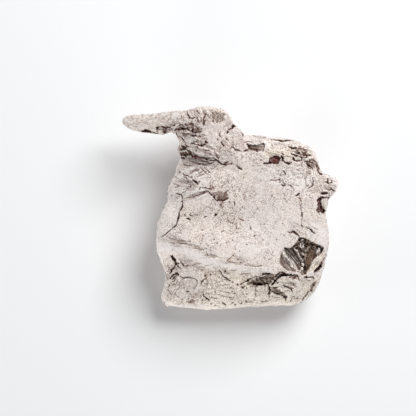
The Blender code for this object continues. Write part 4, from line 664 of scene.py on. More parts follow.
# Its plates and gaps, in the same terms as the patches of the skin; its small bright plates are raised bits
# painted white as glints
PLATES = [
    ("grey", 0.75, 0.35, 0.35, [278, 252, 281.6, 253.4, 286, 258.6, 289, 263, 291.4, 268, 293, 272,
     284, 271, 277, 264]),
    ("grey", 0.12, 0.0, 0.8, [285, 254, 291, 252, 300, 262, 301, 272, 296, 271, 290, 260]),
    ("grey", 0.35, 0.0, 1.2, [294, 262, 301, 262, 301, 273, 296, 271]),
    ("bright", 0.5, 0.5, 0.8, [280.4, 251, 283.8, 248.8, 285, 252, 284, 255, 281.6, 254.4]),
    ("brown", 0.55, 2.2, 1.8, [296, 240, 300, 236, 310, 239, 309.4, 245, 304, 252, 301.6, 259.4,
     296.6, 250.6, 293, 246.6]),
    ("brown", 0.9, 1.2, 1.2, [302, 237.6, 308, 239.6, 316, 243.2, 322.6, 246.6, 321, 247.4, 314, 245,
     306, 242]),
    ("grey", 1.1, 0.7, 0.5, [295.8, 240.8, 298, 240.6, 298.8, 242, 296.6, 242.8]),
    ("grey", 0.7, 0.6, 0.6, [296.4, 243.6, 298.2, 244, 298.2, 247, 296.6, 246.6]),
    ("bright", 2.0, 1.2, 0.4, [299.4, 241.2, 300.4, 239, 301.8, 239.4, 301, 241.6]),
    ("bright", 1.8, 1.0, 0.4, [298.9, 243.6, 299.9, 242.8, 300.6, 246.4, 299.4, 247.4]),
    ("bright", 1.5, 1.0, 0.4, [301.3, 242.6, 302.7, 242.8, 302.6, 246, 301.4, 246.4]),
    ("bright", 1.5, 1.0, 0.5, [299.4, 248, 301.2, 246.4, 302.6, 246.8, 301.4, 248.4]),
    ("bright", 1.1, 0.6, 0.4, [301.6, 252.6, 303, 252.4, 303.2, 254.2, 302, 254.2]),
    ("grey", 0.9, 0.4, 0.5, [303.2, 249.4, 304.6, 249.6, 304.2, 251.4, 303, 251]),
    ("pink", 1.0, 1.0, 0.7, [309.6, 245.2, 306.8, 246.4, 305.2, 249.6, 304.4, 251.8, 306.6, 252.2,
     308.6, 249.6, 309.9, 247]),
    ("pink", 0.9, 0.8, 0.8, [306.2, 252.6, 303.6, 253.6, 302.7, 256.6, 303.2, 260, 305.2, 260.2,
     306, 256]),
    ("brown", 0.9, 0.5, 0.9, [309.8, 246.6, 311, 249, 313, 250.4, 314.2, 252.6, 312.6, 256, 311.4, 260,
     310, 264, 308.2, 267.6, 306, 266, 305.6, 262, 306.4, 256.6, 308, 252, 309.4, 249.4]),
    ("crack", 0.7, -0.8, 0.5, [302, 260.8, 303.6, 261.4, 304.8, 264, 305.8, 270, 303.6, 271, 303.2, 266]),
    ("pink", 1.0, 0.8, 0.6, [311, 245.6, 313, 245.4, 316.4, 246.6, 316, 248.4, 313, 249.2, 311.6, 248]),
    ("crack", 0.9, -0.8, 0.4, [312.4, 247, 314, 246.9, 314.4, 247.9, 313, 248.2]),
    ("bright", 2.2, 1.6, 0.35, [318.2, 247.6, 319.6, 248.2, 319.4, 250.6, 317.8, 252.8, 316, 253.8,
     315, 252.4, 316.8, 249.6]),
    ("bright", 1.2, 0.6, 0.35, [316.4, 254.4, 317.6, 254, 318, 255.2, 316.8, 255.6]),
    ("bright", 1.0, 0.6, 0.35, [319.2, 254, 320.6, 253.6, 320.6, 254.8, 319.4, 255.2]),
    ("crack", 0.7, -1.0, 0.4, [315.8, 246.2, 318, 246.4, 317.4, 248, 315.8, 249]),
    ("crack", 0.4, -0.7, 0.4, [320.8, 248.6, 322, 248.6, 321.4, 251.4, 319.8, 253.6, 319, 253]),
    ("brown", 0.5, 0.3, 0.8, [310, 240.6, 316, 243, 322, 246, 318, 245.8, 312, 244]),
    ("bright", 1.4, 0.7, 0.4, [300.8, 259.6, 302.4, 260, 302.2, 261.6, 300.8, 261.2]),
    ("bright", 2.2, 1.8, 0.4, [301.2, 263.2, 303, 262.2, 304, 264, 303, 266, 301.2, 265.6]),
    ("bright", 2.2, 1.6, 0.4, [300.2, 266.8, 302.6, 266.4, 303, 269, 301.6, 270.8, 299.8, 269.6]),
    ("bright", 2.0, 1.5, 0.5, [297.6, 270.4, 299.8, 270, 300.6, 272.6, 299, 273.6, 297.8, 272.4]),
    ("bright", 1.3, 0.5, 0.4, [295.6, 267, 297, 267.6, 297.2, 269.4, 295.8, 268.8]),
    ("bright", 1.5, 0.6, 0.5, [289.4, 262.8, 291.4, 263, 292.8, 266, 291.6, 267.2, 289.8, 265.4]),
    ("bright", 1.5, 0.6, 0.35, [285.4, 256.4, 286.8, 256.8, 287.2, 258.4, 285.8, 258]),
    ("bright", 1.2, 0.5, 0.35, [287.6, 259.6, 289.2, 260, 289.4, 261.6, 287.8, 261]),
    ("bright", 0.9, 0.3, 0.4, [296.6, 262, 297.6, 262.4, 297.8, 264, 296.8, 263.6]),
    ("bright", 0.9, 0.3, 0.4, [298.6, 265.4, 299.8, 265.8, 299.6, 267.4, 298.6, 267]),
    ("bright", 0.8, 0.3, 0.35, [295.8, 249.6, 296.8, 250, 297, 251.4, 296, 251]),
    ("pink", 0.5, 0.5, 0.5, [299, 264, 300.6, 264.4, 300, 268, 298.4, 267]),
    ("bright", 0.9, 0.6, 0.4, [294, 255.6, 295, 255.8, 295, 256.9, 294.1, 256.7]),
    ("crack", 0.8, -0.6, 0.4, [294, 257.6, 295.6, 257.6, 295.2, 259, 294.2, 258.8]),
]

# Its bright ridges, whose brightness is a painted reflection: half width and height in millimetres,
# brightness, points
RIBS = [
    (0.6, 0.6, 1.6, [280.8, 250, 282.4, 252.6, 284, 255.4, 285.6, 257]),
    (0.4, 0.4, 1.0, [285.6, 257, 288, 259.6, 289.6, 261.6, 291, 264.4]),
    (0.28, 0.4, 1.1, [288.4, 257.6, 290.6, 260, 292.8, 262.6, 295.4, 266.6, 297.6, 269.6]),
    (0.4, 0.4, 1.0, [291.6, 266, 294, 268, 296.4, 270.6, 298.6, 272]),
    (0.16, 0.3, 0.5, [285.8, 253, 289, 256.4, 293, 261, 296, 265]),
    (0.3, 1.1, 2.4, [293.4, 248.2, 296.4, 252, 299, 256, 301.6, 260.2]),
    (0.16, 0.3, 0.45, [290.6, 250, 294, 254.4, 298, 260.4]),
    (0.16, 0.3, 0.35, [288.4, 252, 292, 256.6, 296.4, 262.4]),
    (0.2, 0.3, 0.4, [305, 253, 304.8, 258, 305.2, 262]),
    (0.2, 0.3, 0.5, [311.4, 261.4, 310.4, 265, 308.8, 268.6]),
]

# Where it is striated: outline, turn of the lines in degrees, spacing and depth in millimetres, strength,
# and how long the lines are against their spacing
STRIATIONS = [
    ([277, 251, 284, 251, 290, 262, 294, 272, 276, 272], 58, 0.5, 0.14, 0.35, 14),
    ([283, 247, 292, 245, 302, 260, 303, 274, 296, 272, 288, 258], 52, 0.55, 0.26, 0.8, 9),
    ([296, 238, 310, 238, 306, 252, 302, 259], 60, 0.7, 0.3, 0.35, 3),
    ([306, 250, 314, 250, 311, 264, 306, 270], 100, 0.8, 0.12, 0.25, 8),
    ([308, 240, 323, 246, 320, 256, 312, 250], 20, 0.8, 0.3, 0.6, 3),
]
# Where the skin is crumpled: how strongly, and an oval's middle column and row, half length and half width
CRUMPLED = [
    # the arm
    (0.35, (150, 124, 34, 14)),
    # the shelf
    (0.8, (290, 158, 36, 22)),
    # the fan
    (0.7, (190, 178, 22, 22)),
    # the knob
    (0.6, (327, 190, 7, 13)),
]
OVAL_EDGE = (0.7, 1.2)
NECK = (205, 138, 42, 30)
CALM_NECK = (216, 138, 12, 17)
CRUMPLED_BAND = 0.65
CRUMPLED_SIDE = 0.75
LEAST_CRUMPLED = 0.1

# Where the flanks swell out, as ovals, and how far in millimetres
SWOLLEN = ((162, 300, 12, 12), (330, 176, 7, 8))
SWELL = 0.6

# The lower band starts at a row that falls from a column by a slope, and is whole at a second row
BAND_COLUMN = 200
BAND_SLOPE = 0.14
BAND_ROWS = (258, 272)
WARM_COLUMNS = (196, 212)

# The tints that each point of a skin carries, and those that keep their fine faces when the skin is thinned
SKIN_TINTS = (
    "warm", "clean", "tan", "mauve", "grey", "valley", "bright", "stain", "rust", "shade", "umber", "crack",
    "hollow", "edge", "grit", "side",
)
KEPT_TINTS = ("stain", "rust", "shade", "umber", "crack")
KEPT_SHARE = 0.12
MINERAL_TINTS = ("grey", "brown", "pink", "bright", "valley", "crack")

# Fractal noise: how fast its octaves fade, and how much finer each is than the last
NOISE_FADE = 0.9
FINER = 2.0

# Noises that make what is drawn ragged: size of their features in metres, octaves, seed
RAGGED = (0.9 * MM, 3, 4.0)
PATCHY = (2.2 * MM, 2, 6.0)

# How a line reaches out, in half widths, starts on its taper, and varies in width and in darkness
LINE_REACH = 4
LINE_START = 0.1
LINE_WIDTHS = (0.35, 1.8)
LINE_STRENGTHS = (0.4, 1.4)
CRACK_HALO = 1.15
LEDGE_START = 0.05
LEDGE_FOOT = -0.35

# How wide and how dark a dot is against its radius and darkness, and how far it reaches in its own widths
DOT_WIDTH = 0.8
DOT_STRENGTH = 1.1
DOT_REACH = 3

# How far folds wander, in squares, fade out at their outline, and rise against their depth
FOLD_BEND = 1.5
FOLD_EDGE = 2
FOLD_LIFT = 1.6
FOLD_LENGTH = 7
FOLD_FADE = 0.7
FOLD_OCTAVES = 3
GRIT_EDGE = 3.0


def smooth_step(value, start, end):
    share = np.clip((value - start) / (end - start), 0, 1)
    return share * share * (3 - 2 * share)


def bell(value):
    return np.exp(-(value**2))


def tapered(along, start):
    """A taper along a line, highest in its middle, that starts and ends a share up its slopes."""
    return np.sin(np.pi * (start + (1 - 2 * start) * along))


def noise_at(points, size, octaves=3, seed=0.0):
    """Fractal noise of about -1 to 1 at points in metres, for features of a size in metres."""
    shift = Vector((seed, seed * 1.7, seed * 2.3))
    spots = (Vector(spot) / size + shift for spot in points)
    return np.array([noise.fractal(spot, NOISE_FADE, FINER, octaves) for spot in spots])


def shake_at(points, seed):
    """A coarse and a fine noise together, which shake what is drawn."""
    return noise_at(points, 1.3 * MM, 3, seed) + 0.5 * noise_at(points, 0.55 * MM, 2, seed)


def broken_at(points, size, seed):
    """Heights of about -1 to 1 on a surface broken into tilted plates of a size in metres."""
    shift = Vector((seed, seed * 1.3, seed * 2.1))
    heights = np.empty(len(points))
    for index, spot in enumerate(points):
        place = Vector(spot) / size + shift
        middle = noise.voronoi(place)[1][0]
        tilt = noise.cell_vector(middle * 7.3) * 2 - Vector((1, 1, 1))
        heights[index] = 0.5 * tilt.z + tilt.dot(place - middle)
    return heights


class Sheet:
    """Points in metres, each with its column and row on the sheet."""

    def __init__(self, points):
        self.points = points
        self.column = points[:, 0] / GRID + ORIGIN_COLUMN
        self.row = ORIGIN_ROW - points[:, 1] / GRID

    def inside_box(self, corners, reach):
        low = corners.min(axis=0) - reach
        high = corners.max(axis=0) + reach
        inside = (self.column > low[0]) & (self.column < high[0])
        inside &= (self.row > low[1]) & (self.row < high[1])
        return np.flatnonzero(inside)

    def near(self, path, reach):
        """The points within a reach of a path, how far off they are, on which side, and how far along."""
        corners = np.reshape(path, (-1, 2)).astype(float)
        chosen = self.inside_box(corners, reach)
        spots = np.stack([self.column[chosen], self.row[chosen]], axis=1)
        gap = np.full(len(chosen), np.inf)
        side = np.zeros(len(chosen))
        along = np.zeros(len(chosen))
        lengths = np.hypot(*np.diff(corners, axis=0).T)
        passed = 0.0
        for start, end, length in zip(corners[:-1], corners[1:], lengths):
            run = (end - start) / length
            away = spots - start
            reached = np.clip(away @ run, 0, length)
            distance = np.hypot(*(away - reached[:, None] * run).T)
            closer = distance < gap
            gap[closer] = distance[closer]
            side[closer] = np.sign(away @ np.array([-run[1], run[0]]))[closer]
            along[closer] = (passed + reached[closer]) / lengths.sum()
            passed += length
        return chosen, gap, side, along

    def within(self, outline, reach):
        """The points round a closed outline, and how far inside it they are."""
        closed = np.reshape([*outline, *outline[:2]], (-1, 2))
        chosen, gap, _, _ = self.near(closed, reach)
        column, row = self.column[chosen], self.row[chosen]
        inside = np.zeros(len(chosen), bool)
        for (x0, y0), (x1, y1) in zip(closed[:-1], closed[1:]):
            spans = (y0 > row) != (y1 > row)
            crossing = x0 + (row - y0) * (x1 - x0) / ((y1 - y0) or 1.0)
            inside ^= spans & (column < crossing)
        return chosen, np.where(inside, gap, -gap)

    def oval(self, column, row, half_length, half_width):
        """A soft oval share of the sheet, 1 in its middle."""
        away = np.hypot((self.column - column) / half_length, (self.row - row) / half_width)
        return 1 - smooth_step(away, *OVAL_EDGE)


class Relief(Sheet):
    """The lift of a skin in millimetres and its tints, drawn on a sheet that is shaken by some squares."""

    def __init__(self, points, tints, wobble):
        super().__init__(points)
        self.ragged = noise_at(points, *RAGGED)
        self.patchy = noise_at(points, *PATCHY)
        self.column = self.column + wobble * shake_at(points, 3)
        self.row = self.row + wobble * shake_at(points, 9)
        self.lift = np.zeros(len(points))
        self.tint = {name: np.zeros(len(points)) for name in tints}

    def colour(self, name, chosen, amount):
        self.tint[name][chosen] = np.maximum(self.tint[name][chosen], np.clip(amount, 0, 1))

    def deepen(self, name, amount):
        self.tint[name] = np.maximum(self.tint[name], amount)

    def crack(self, half_width, depth, darkness, path):
        width = half_width * MM / GRID
        chosen, gap, _, along = self.near(path, width * LINE_REACH)
        ragged, patchy = self.ragged[chosen], self.patchy[chosen]
        taper = np.sqrt(np.clip(tapered(along, LINE_START), 0, 1))
        taper = np.clip(taper * (1 + 0.7 * ragged + 0.5 * patchy), *LINE_WIDTHS)
        self.lift[chosen] -= depth * taper * bell(gap / (width * taper))
        strength = darkness * np.clip(1 + 0.4 * patchy + 0.4 * ragged, *LINE_STRENGTHS)
        self.colour("crack", chosen, strength * bell(gap / (width * CRACK_HALO * taper)))

    def dot(self, column, row, radius, darkness):
        width = DOT_WIDTH * radius * MM / GRID
        chosen = self.inside_box(np.array([(column, row)]), width * DOT_REACH)
        gap = np.hypot(self.column[chosen] - column, self.row[chosen] - row) / width
        profile = bell(gap * (1 + 0.3 * self.ragged[chosen]))
        self.lift[chosen] -= radius * profile
        self.colour("crack", chosen, DOT_STRENGTH * darkness * profile)

    def patch(self, name, strength, lift, edge, outline):
        chosen, depth = self.within(outline, edge * 2 + 1)
        ragged, patchy = self.ragged[chosen], self.patchy[chosen]
        share = smooth_step(depth + (0.4 + min(edge, 1.4)) * ragged, -edge, edge)
        self.lift[chosen] += share * lift * (1 + 0.35 * ragged)
        self.colour(name, chosen, strength * share * (1 + 0.35 * ragged + 0.2 * patchy))

    def grit(self, strength, outline):
        self.patch("grit", strength, 0.0, GRIT_EDGE, outline)

    def ledge(self, height, reach, path):
        chosen, gap, side, along = self.near(path, reach)
        share = 1 - smooth_step(gap, 0, reach)
        raised = np.where(side < 0, share, LEDGE_FOOT * share)
        self.lift[chosen] += height * tapered(along, LEDGE_START) * raised

    def ridge(self, half_width, height, brightness, path):
        width = half_width * MM / GRID
        chosen, gap, _, along = self.near(path, width * LINE_REACH)
        taper = np.sqrt(np.clip(tapered(along, LINE_START), 0, 1)) * (1 + 0.4 * self.ragged[chosen])
        profile = taper * bell(gap / width)
        self.lift[chosen] += height * profile
        self.colour("bright", chosen, brightness * profile)

    def streak(self, outline, turn, spacing, depth, strength, length=FOLD_LENGTH):
        """Long narrow folds: painted highlight along their crests and painted shade along their valleys."""
        chosen, inner = self.within(outline, 2 * FOLD_EDGE)
        angle = np.radians(turn)
        across = self.column[chosen] + FOLD_BEND * self.patchy[chosen]
        down = self.row[chosen] + FOLD_BEND * self.patchy[chosen]
        beside = (down * np.cos(angle) - across * np.sin(angle)) * GRID / (spacing * MM)
        along = (down * np.sin(angle) + across * np.cos(angle)) * GRID / (spacing * length * MM)
        places = (Vector((*place, turn)) for place in zip(beside, along))
        fold = np.array([noise.fractal(place, FOLD_FADE, FINER, FOLD_OCTAVES) for place in places])
        share = smooth_step(inner, -FOLD_EDGE, FOLD_EDGE)
        self.lift[chosen] += share * FOLD_LIFT * depth * fold
        self.colour("bright", chosen, share * strength * smooth_step(fold, 0.05, 0.4))
        self.colour("valley", chosen, share * strength * smooth_step(-fold, 0.0, 0.4))


# ---------------------------------------------------------------------------------------------------------
# Meshes
# ---------------------------------------------------------------------------------------------------------

WELD = 1e-6
LEAST_SPREAD = 1e-7


def read_points(mesh, field="co"):
    flat = np.empty(len(mesh.vertices) * 3, np.float32)
    mesh.vertices.foreach_get(field, flat)
    return flat.reshape(-1, 3).astype(float)


def write_points(mesh, points):
    mesh.vertices.foreach_set("co", points.astype(np.float32).ravel())
    mesh.update()


def write_tints(mesh, tints):
    for name, values in tints.items():
        layer = mesh.attributes.new(name, "FLOAT", "POINT")
        layer.data.foreach_set("value", np.clip(values, 0, 1).astype(np.float32))


def cad_copy(node):
    """A node's own mesh, copied and welded."""
    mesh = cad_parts[node].data.copy()
    skin = bmesh.new()
    skin.from_mesh(mesh)
    bmesh.ops.remove_doubles(skin, verts=skin.verts, dist=WELD)
    skin.to_mesh(mesh)
    skin.free()
    mesh.materials.clear()
    return mesh


def modified(mesh, free=(), **kinds):
    """A copy of a mesh with modifiers applied, each given by its type and its settings."""
    obj = bpy.data.objects.new("blank", mesh)
    bpy.context.scene.collection.objects.link(obj)
    if free:
        obj.vertex_groups.new(name="free").add(free, 1.0, "REPLACE")
    for kind, values in kinds.items():
        modifier = obj.modifiers.new(kind, kind)
        for name, value in values.items():
            setattr(modifier, name, value)
    bpy.context.view_layer.update()
    graph = bpy.context.evaluated_depsgraph_get()
    made = bpy.data.meshes.new_from_object(obj.evaluated_get(graph))
    bpy.data.objects.remove(obj, do_unlink=True)
    return made


def evened(mesh, voxel, rounds):
    """A closed mesh in small even faces, with its facets smoothed away."""
    even = {"mode": "VOXEL", "voxel_size": voxel}
    return modified(mesh, REMESH=even, SMOOTH={"factor": 0.5, "iterations": rounds})


def thinned(mesh, most, free):
    """A mesh with no more than a number of triangles: only the free points go, the flattest places first."""
    count = sum(len(face.vertices) - 2 for face in mesh.polygons)
    chosen = np.flatnonzero(free).tolist()
    return modified(mesh, chosen, DECIMATE={"ratio": min(1.0, most / count), "vertex_group": "free"})


def refine(mesh, wanted):
    """Halve the faces that have a wanted point, and round off the new ones."""
    skin = bmesh.new()
    skin.from_mesh(mesh)
    faces = [face for face in skin.faces if any(wanted[point.index] for point in face.verts)]
    edges = list({edge for face in faces for edge in face.edges})
    made = bmesh.ops.subdivide_edges(skin, edges=edges, cuts=1, use_grid_fill=True, smooth=0)
    points = [item for item in made["geom_inner"] if isinstance(item, bmesh.types.BMVert)]
    bmesh.ops.smooth_vert(skin, verts=points, factor=0.5, use_axis_x=True, use_axis_y=True, use_axis_z=True)
    skin.to_mesh(mesh)
    skin.free()


def neighbour_mean(mesh, points):
    ends = np.empty(len(mesh.edges) * 2, np.int32)
    mesh.edges.foreach_get("vertices", ends)
    first, second = ends.reshape(-1, 2).T
    size = len(points)
    count = np.bincount(first, minlength=size) + np.bincount(second, minlength=size)
    total = np.stack([
        np.bincount(first, points[second, axis], size) + np.bincount(second, points[first, axis], size)
        for axis in range(3)
    ], axis=1)
    return total / count[:, None]


def hollowness(mesh):
    """How far each point lies below its neighbours along its normal, as a share of their distance."""
    points = read_points(mesh)
    mean = neighbour_mean(mesh, points)
    spread = np.sqrt(np.maximum(neighbour_mean(mesh, points**2) - mean**2, 0).sum(axis=1))
    return ((mean - points) * read_points(mesh, "normal")).sum(axis=1) / np.maximum(spread, LEAST_SPREAD)


def sheet_point(column, row, height):
    return Vector(((column - ORIGIN_COLUMN) * GRID, (ORIGIN_ROW - row) * GRID, height))


def piece(name, mesh, material):
    obj = bpy.data.objects.new(name, mesh)
    bpy.context.scene.collection.objects.link(obj)
    mesh.materials.append(material)
    mesh.polygons.foreach_set("use_smooth", np.ones(len(mesh.polygons), bool))
    return obj


# ---------------------------------------------------------------------------------------------------------
# Materials
# ---------------------------------------------------------------------------------------------------------

# The Mix node's sockets for colours, by number
MIX_SHARE = 0
MIX_FIRST = 6
MIX_SECOND = 7
MIX_RESULT = 2

# How large the bends of veins are against their cells, where a spot starts to fade against its radius, and
# how sharply the cells that have a spot are told from the others
VEIN_BEND_SIZE = 1 / 0.7
SPOT_HEART = 0.4
SPOT_CHANCE_EDGE = 0.02


class Wire:
    """A socket of a material, on which Python's arithmetic adds Math nodes."""

    def __init__(self, finish, socket):
        self.finish = finish
        self.socket = socket

    def maths(self, operation, first, second):
        return self.finish.node("ShaderNodeMath", {"operation": operation}, {0: first, 1: second})

    def __add__(self, other):
        return self.maths("ADD", self, other)

    def __radd__(self, other):
        return self.maths("ADD", other, self)

    def __sub__(self, other):
        return self.maths("SUBTRACT", self, other)

    def __rsub__(self, other):
        return self.maths("SUBTRACT", other, self)

    def __mul__(self, other):
        return self.maths("MULTIPLY", self, other)

    def __rmul__(self, other):
        return self.maths("MULTIPLY", other, self)


class Finish:
    """A Principled material that is wired up node by node, with its colours in a group of settings."""

    def __init__(self, name, settings):
        self.material = bpy.data.materials.new(name)
        self.material.use_nodes = True
        self.settings = settings
        self.tree = self.material.node_tree
        self.shader = self.tree.nodes["Principled BSDF"]
        self.place = self.node("ShaderNodeTexCoord", output="Object")

    def node(self, kind, settings=None, inputs=None, output=0):
        """Add a node: its settings first, then its sockets, which take values or wires."""
        made = self.tree.nodes.new(kind)
        for name, value in (settings or {}).items():
            setattr(made, name, value)
        for name, value in (inputs or {}).items():
            self.connect(made.inputs[name], value)
        return Wire(self, made.outputs[output])

    def connect(self, socket, value):
        if isinstance(value, Wire):
            self.tree.links.new(value.socket, socket)
        else:
            socket.default_value = value

    def tints(self, names):
        """The tints that the mesh carries, by name."""
        kind = "ShaderNodeAttribute"
        return {name: self.node(kind, {"attribute_name": name}, output="Fac") for name in names}

    def colour(self, name):
        return (*getattr(self.settings, name), 1.0)

    def layered(self, base, layers):
        """A colour under layers of others, each with the share that it covers."""
        tone = self.colour(base)
        for name, share in layers:
            sockets = {MIX_SHARE: share, MIX_FIRST: tone, MIX_SECOND: self.colour(name)}
            tone = self.node("ShaderNodeMix", {"data_type": "RGBA"}, sockets, MIX_RESULT)
        return tone

    def between(self, value, low, high):
        """A value moved from the range low to high to the range 0 to 1, with smooth ends."""
        return self.node(
            "ShaderNodeMapRange", {"interpolation_type": "SMOOTHSTEP"},
            {"Value": value, "From Min": low, "From Max": high},
        )

    def noise(self, size, detail=3.0, roughness=0.55, output=0):
        """Soft noise with features of a size in millimetres."""
        scale = MM_PER_METRE / size
        sockets = {"Vector": self.place, "Scale": scale, "Detail": detail, "Roughness": roughness}
        return self.node("ShaderNodeTexNoise", None, sockets, output)

    def cells(self, size, output="Distance"):
        sockets = {"Vector": self.place, "Scale": MM_PER_METRE / size}
        return self.node("ShaderNodeTexVoronoi", None, sockets, output)

    def veins(self, size, bend, width):
        """Thin wandering lines, 1 on a line, round cells of a size in millimetres."""
        bent = self.noise(size * VEIN_BEND_SIZE, 3.0, 0.5, "Color")
        sway = {0: bent, 1: (bend * MM,) * 3, 2: self.place}
        moved = self.node("ShaderNodeVectorMath", {"operation": "MULTIPLY_ADD"}, sway)
        sockets = {"Vector": moved, "Scale": MM_PER_METRE / size}
        edge = self.node("ShaderNodeTexVoronoi", {"feature": "DISTANCE_TO_EDGE"}, sockets)
        return 1 - self.between(edge, 0.0, width / size)

    def spots(self, size, radius, share):
        """Round spots, 1 in their middles, in a share of the cells of a size in millimetres."""
        chance = self.node("ShaderNodeSeparateColor", None, {"Color": self.cells(size, "Color")})
        spot = 1 - self.between(self.cells(size), SPOT_HEART * radius / size, radius / size)
        return spot * self.between(chance, 1 - share, 1 - share + SPOT_CHANCE_EDGE)

    def finish(self, depth, height, strength, sockets):
        """Give the shader its sockets, and a relief of a depth in millimetres."""
        relief = {"Strength": strength, "Distance": depth * MM, "Height": height}
        normal = self.node("ShaderNodeBump", None, relief)
        for name, value in {**sockets, "Normal": normal}.items():
            self.connect(self.shader.inputs[name], value)
        return self.material


def skin_material(settings):
    """Pale weathered skin: mottled, grainy, speckled with pits, brown and painted dark as shade in its
    cracks and hollows, with painted highlights.
    """
    skin = Finish("pale_skin", settings)
    tint = skin.tints(SKIN_TINTS)
    clean, grit = tint["clean"], tint["grit"]
    broad = skin.noise(9.0)
    patchy = skin.noise(3.2, 4.0, 0.65)
    fleck = skin.noise(1.3, 3.0, 0.6)
    grain = skin.noise(0.6, 2.0, 0.6)
    dust = skin.noise(0.36, 1.0)
    crowd = skin.between(skin.noise(7.0), 0.42, 0.6)
    crowded = 0.25 + 0.75 * crowd
    strength = settings.grain * (1 - 0.7 * clean) * (0.5 + 0.6 * crowd)
    mottle = 0.5 + 0.4 * skin.between(fleck, 0.42, 0.56) + 0.35 * skin.between(grain, 0.42, 0.56)
    dirty = 0.25 + 0.75 * skin.between(skin.noise(14.0, 2.0), 0.44, 0.58)
    vein = skin.veins(5.5, 3.0, 0.22) * skin.between(skin.noise(5.0, 2.0), 0.5, 0.62)
    pit = skin.spots(1.3, 0.34, 0.2) * dirty
    pepper = skin.spots(0.95, 0.3, 0.35) * (0.4 * crowd + skin.between(grit, 0.2, 0.9))
    dash = skin.veins(2.2, 1.8, 0.22) * skin.between(skin.noise(1.7, 2.0), 0.55, 0.63) * crowded
    seam = skin.veins(11.0, 4.2, 0.32) * skin.between(skin.noise(12.0, 2.0), 0.42, 0.52)
    branch = skin.veins(5.0, 2.5, 0.25) * skin.between(skin.noise(6.0, 2.0), 0.48, 0.58)
    seam = 0.85 * (seam + 0.7 * branch) * tint["side"]
    crack = tint["crack"] + seam
    tone = skin.layered("pale", (
        ("cream", skin.between(broad, 0.42, 0.62) * 0.8),
        ("lilac", skin.between(patchy, 0.5, 0.66) * 0.5),
        ("warm", tint["warm"]),
        ("frost", clean * 0.75),
        ("tan", tint["tan"]),
        ("mauve", tint["mauve"]),
        ("grey", tint["grey"]),
        # painted shade in the valleys of folds
        ("valley", tint["valley"]),
        # painted highlights: the bright tint of rims, crests, raised lines and lit flanks, then of convex
        # edges
        ("bright", tint["bright"] * 0.85),
        ("bright", tint["edge"] * 0.7),
        ("warm", tint["warm"] * 0.35),
        ("bright", skin.between(patchy, 0.56, 0.44) * skin.between(grain, 0.48, 0.38) * 0.8),
        ("grey", skin.between(fleck, 0.55, 0.68) * (0.45 + 0.35 * grit) * strength),
        ("grey", skin.between(grain, 0.54, 0.64) * (0.55 + 0.45 * grit) * strength),
        ("dirt_and_hollow_shade", skin.between(dust, 0.56, 0.66) * (0.9 + 0.3 * grit) * strength),
        ("bright", skin.between(dust, 0.46, 0.36) * 0.6 * strength),
        ("dirt_and_hollow_shade", skin.between(grain, 0.58, 0.66) * (0.5 + 0.7 * grit) * strength),
        # painted shade in hollows
        ("dirt_and_hollow_shade", tint["hollow"] * 0.7),
        ("stain", tint["stain"] * mottle),
        ("rust", tint["rust"] * (0.5 + 0.5 * mottle)),
        ("shade", tint["shade"] * mottle),
        ("dirt_and_hollow_shade", dash * (1 - 0.8 * clean) * 0.8),
        ("dirt_and_hollow_shade", vein * 0.45),
        ("dirt_and_hollow_shade", pit * 0.6),
        ("umber", pepper * 0.75),
        ("umber", tint["umber"]),
        # umber sides of the cracks, then near-black painted shade in their depths
        ("umber", skin.between(crack, 0.0, 0.6)),
        ("crack", skin.between(crack, 0.45, 1.0)),
    ))
    height = 0.5 * skin.noise(0.9, 4.0, 0.7) + 0.3 * dust - 0.5 * pit - 0.4 * vein - seam
    sockets = {"Base Color": tone, "Roughness": 0.7 + 0.28 * patchy, "Specular IOR Level": settings.gloss}
    return skin.finish(0.3, height, settings.bump, sockets)


def mineral_material(settings):
    """Dark mineral: brown-black, striated, with a dull lustre, painted glints, and ridges bright with
    painted reflections.
    """
    dark = Finish("dark_mineral", settings)
    tint = dark.tints(MINERAL_TINTS)
    film = dark.noise(0.7, 4.0, 0.65)
    tone = dark.layered("deep", (
        ("brown", dark.between(dark.noise(4.0), 0.35, 0.65) * 0.6),
        ("grey", tint["grey"]),
        ("brown", tint["brown"]),
        ("pink", tint["pink"]),
        ("bright", tint["bright"]),
        # painted shade in the valleys of the striations
        ("deep", tint["valley"] * (0.7 - 0.7 * tint["bright"])),
        ("brown", dark.between(film, 0.52, 0.68) * 0.3),
        # painted glints
        ("bright", dark.between(dark.noise(0.45, 2.0), 0.6, 0.7) * 0.25),
        # dark gaps, and painted shade in hollows
        ("deep", tint["crack"] * (1 - 0.7 * tint["bright"])),
    ))
    sockets = {"Base Color": tone, "Roughness": 0.3 + 0.4 * film, "Specular IOR Level": settings.gloss}
    return dark.finish(0.2, film, settings.bump, sockets)


def floor_material(settings):
    """Matt white board with a faint tooth."""
    table = Finish("white_table", settings)
    sockets = {"Base Color": table.colour("floor"), "Roughness": 0.9}
    return table.finish(0.2, table.noise(1.0), 0.05, sockets)


# ---------------------------------------------------------------------------------------------------------
# Settings
# ---------------------------------------------------------------------------------------------------------


def tint_setting(name, default, description):
    return bpy.props.FloatVectorProperty(
        name=name, description=description, subtype="COLOR", size=3, min=0.0, max=1.0, default=default
    )


def share_setting(name, default, description):
    return bpy.props.FloatProperty(
        name=name, description=description, subtype="FACTOR", min=0.0, max=1.0, default=default
    )


def size_setting(name, default, least, description):
    return bpy.props.FloatProperty(
        name=name, description=description, unit="LENGTH", min=least, default=default
    )


def power_setting(name, default, description):
    return bpy.props.FloatProperty(
        name=name, description=description, unit="POWER", min=0.0, default=default
    )


